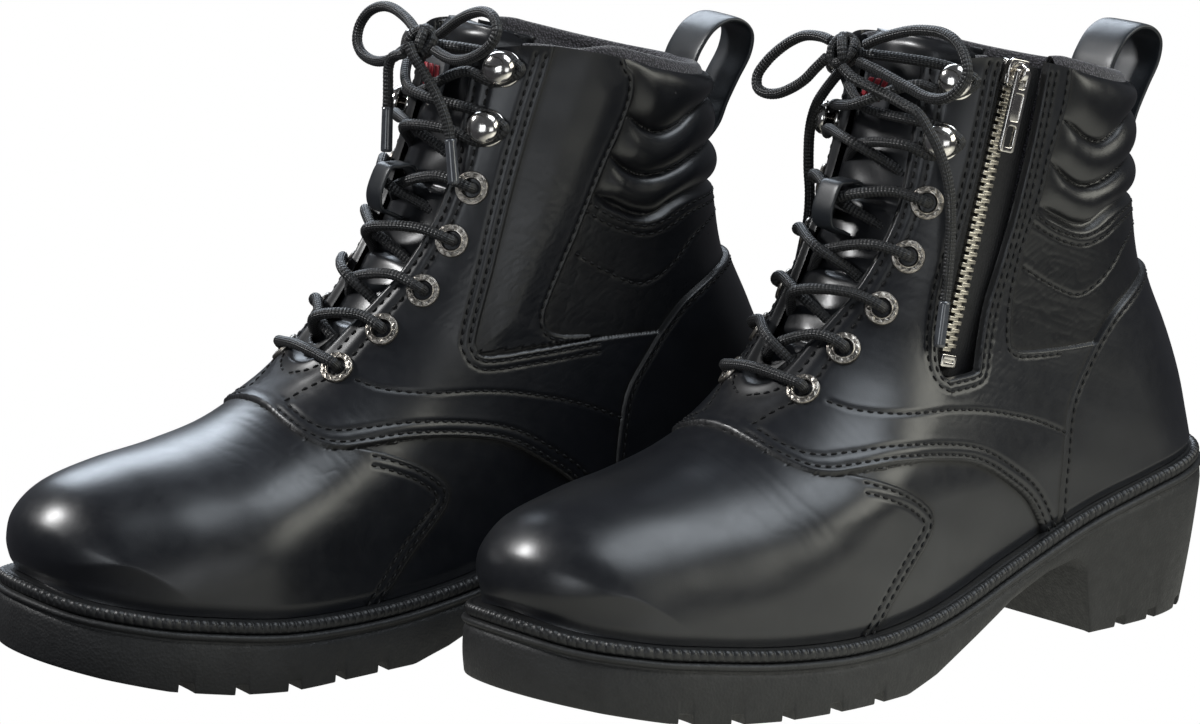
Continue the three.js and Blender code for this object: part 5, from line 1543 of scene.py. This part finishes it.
def plan_ring(u):
    """Places on the foot of the upper for shares u of the way from toe to heel, round both sides, with the
    outward direction in plan and the height of the welt line."""
    feather = spline(FEATHER, 400)
    at = np.linspace(0, 1, 400)
    f, z = np.interp(u, at, feather[:, 0]), np.interp(u, at, feather[:, 1])
    inner, outer = across(f, z, 1), across(f, z, -1)
    inner[[0, -1]] = outer[[0, -1]] = 0
    x = np.concatenate([inner, outer[-2:0:-1]])
    y = -np.concatenate([f, f[-2:0:-1]])
    height = np.concatenate([z, z[-2:0:-1]])
    dx, dy = np.roll(x, -1) - np.roll(x, 1), np.roll(y, -1) - np.roll(y, 1)
    return np.stack([x, y], 1), unit(np.stack([dy, -dx], 1)), height


def even_ring(count):
    """The same ring at even spacing all the way round."""
    base, normal, height = plan_ring(0.5 - 0.5 * np.cos(np.pi * np.linspace(0, 1, 1600)))
    out = base + normal * 4
    gap = np.linalg.norm(np.roll(out, -1, axis=0) - out, axis=1)
    s = np.concatenate([[0], np.cumsum(gap)])
    at = np.linspace(0, s[-1], count, endpoint=False)
    joined = np.column_stack([np.vstack([base, base[:1]]), np.vstack([normal, normal[:1]]),
                              np.append(height, height[0])])
    values = np.stack([np.interp(at, s, joined[:, i]) for i in range(5)], 1)
    return values[:, :2], unit(values[:, 2:4]), values[:, 4], at, s[-1]


def ringed(base, normal, height, offsets, drops):
    """Rows of points round the sole: offsets out in plan and drops below the welt line."""
    xy = base[None] + normal[None] * offsets[..., None]
    return np.concatenate([xy, (height[None] + drops)[..., None]], -1)


def welt_shape():
    """The welt: a flat ledge whose rounded edge is cut into fine ribs."""
    base, normal, height, s, total = even_ring(detail(2300))
    profile = spline([(-3, -0.4), (0.2, -0.25), (1.6, -0.3), (2.2, -0.55), (2.7, -0.25), (3.6, -0.15),
                      (4.5, -0.7), (4.95, -1.7), (4.9, -2.9), (4.5, -3.8), (3.6, -4.3), (1.0, -4.4)], 26)
    ribs = round(total / RIB_PITCH)
    phase = np.abs(np.sin(np.pi * ribs * s / total)) ** 0.7
    weight = smoothstep(2.4, 3.6, profile[:, 0]) * smoothstep(-4.2, -3.0, profile[:, 1])
    cut = (1 - phase)[None, :] * weight[:, None]
    return ringed(base, normal, height, profile[:, 0:1] - 0.65 * cut, profile[:, 1:2] - 0.45 * cut)


def sole_stations():
    """Shares of the way from toe to heel: even steps, and a pair at every groove's edges."""
    feather = spline(FEATHER, 400)
    u = list(0.5 - 0.5 * np.cos(np.pi * np.linspace(0, 1, detail(280))))
    edges = [at + side * (GROOVES["width"] / 2 - top) for at in GROOVES["at"] for side in (-1, 1)
             for top in (0, 0.35)]
    edges += [HEEL_END + step for step in (-0.6, 0, 0.5, 1, 1.5, 2, 3, 4, 5, 6)]
    u += list(np.interp(-np.array(edges), -feather[:, 0], np.linspace(0, 1, 400)))
    return np.unique(np.round(u, 6))


def underside(f):
    """The height of the sole's underside over the ground, between its grooves."""
    return np.interp(f, *np.array(UNDERSIDE, float).T)


def sole_shape():
    """The outsole: a smooth ledge under the welt, a grained wall, and an underside with lugs and a heel."""
    base, normal, height = plan_ring(sole_stations())
    f = -base[:, 1]
    lug = np.zeros_like(f)
    for at in GROOVES["at"]:
        wall = 1 - smoothstep(GROOVES["width"] / 2 - 0.4, GROOVES["width"] / 2, np.abs(f - at))
        lug = np.maximum(lug, GROOVES["depth"] * wall)
    foot = HEEL_TAPER + (SOLE_PROUD - HEEL_TAPER) * smoothstep(HEEL_END, 120, f)
    ledge = spline([(1.0, -4.45), (3.2, -4.5), (5.2, -4.6), (5.9, -5.1), (5.9, -5.9), (5.4, -6.5),
                    (4.6, -6.9), (4.45, -7.3), (4.7, -7.8), (5.1, -8.3)], 20)
    rows = [ringed(base, normal, height, ledge[:, 0:1], ledge[:, 1:2] * np.ones_like(f)[None])]
    bottom = underside(f) + lug
    top = height - 8.3
    t = np.linspace(0, 1, 16)[1:, None]
    z = top[None] * (1 - t) + (bottom + 0.7)[None] * t
    bulge = 0.5 * np.sin(np.pi * t)
    out = foot[None] + (SOLE_PROUD - foot)[None] * np.clip((z + 2) / 46, 0, 1) + bulge
    rows.append(np.concatenate([base[None] + normal[None] * out[..., None], z[..., None]], -1))
    for inset, rise in ((0.2, 0.25), (0.7, 0.0)):
        rows.append(np.column_stack([base + normal * (out[-1] - inset)[:, None], bottom + rise])[None])
    points = np.concatenate(rows)
    count = points.shape[1]
    quads = [grid_quads(points.shape[0], count, closed=True)[:, ::-1]]
    rim = points[-1]
    half = count // 2
    one, other = rim[:half + 1], rim[(-np.arange(half + 1)) % count]
    share = np.linspace(0, 1, 21)[1:-1]
    floor = one[None] * (1 - share)[:, None, None] + other[None] * share[:, None, None]
    x, fore = floor[..., 0], -floor[..., 1]
    channel = (1 - smoothstep(2.2, 3.0, np.abs(x))) * smoothstep(166, 168, fore)
    channel = channel * (1 - smoothstep(262, 264, fore))
    floor[..., 2] = np.maximum(floor[..., 2], underside(fore) + 2.6 * channel)
    start = (points.shape[0] - 1) * count
    total = points.shape[0] * count
    strips = np.concatenate([[start + np.arange(half + 1)],
                             total + np.arange(len(share) * (half + 1)).reshape(len(share), -1),
                             [start + (-np.arange(half + 1)) % count]])
    a, b, c, d = strips[:-1, :-1], strips[:-1, 1:], strips[1:, 1:], strips[1:, :-1]
    cells = np.stack([a, b, c, d], -1).reshape(-1, 4)
    whole = np.array([len(set(cell)) == 4 for cell in cells.tolist()])
    quads.append(cells[whole][:, ::-1])
    tris = [list(dict.fromkeys(cell))[::-1] for cell in cells[~whole].tolist()]
    tris = [cell for cell in tris if len(cell) == 3]
    points = np.concatenate([points.reshape(-1, 3), floor.reshape(-1, 3)])
    return points, np.concatenate(quads), np.array(tris, int).reshape(-1, 3)


WELT = welt_shape()
SOLE = sole_shape()


def sole(boot):
    """The welt and the outsole of one boot."""
    add_piece("welt_ribbed", boot, (WELT.reshape(-1, 3), grid_quads(*WELT.shape[:2], closed=True)[:, ::-1]),
              WELT_RUBBER, node="welt")
    add_piece("sole_lugged", boot, SOLE, RUBBER, node="outsole")


KEPT = {"insole_board": BOARD, "footbed": FOOTBED}

for boot in BOOTS:
    held_lace(boot)
    upper_panels(boot)
    points, quads, tris = STITCHES
    add_piece("seam_threads", boot, (points, quads, tris), THREAD)
    soft_parts(boot)
    metal_fittings(boot)
    trims(boot)
    side_zip(boot)
    sole(boot)
    for name, material in KEPT.items():
        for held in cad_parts[f"{boot}_{name}"].material_slots:
            held.material = material
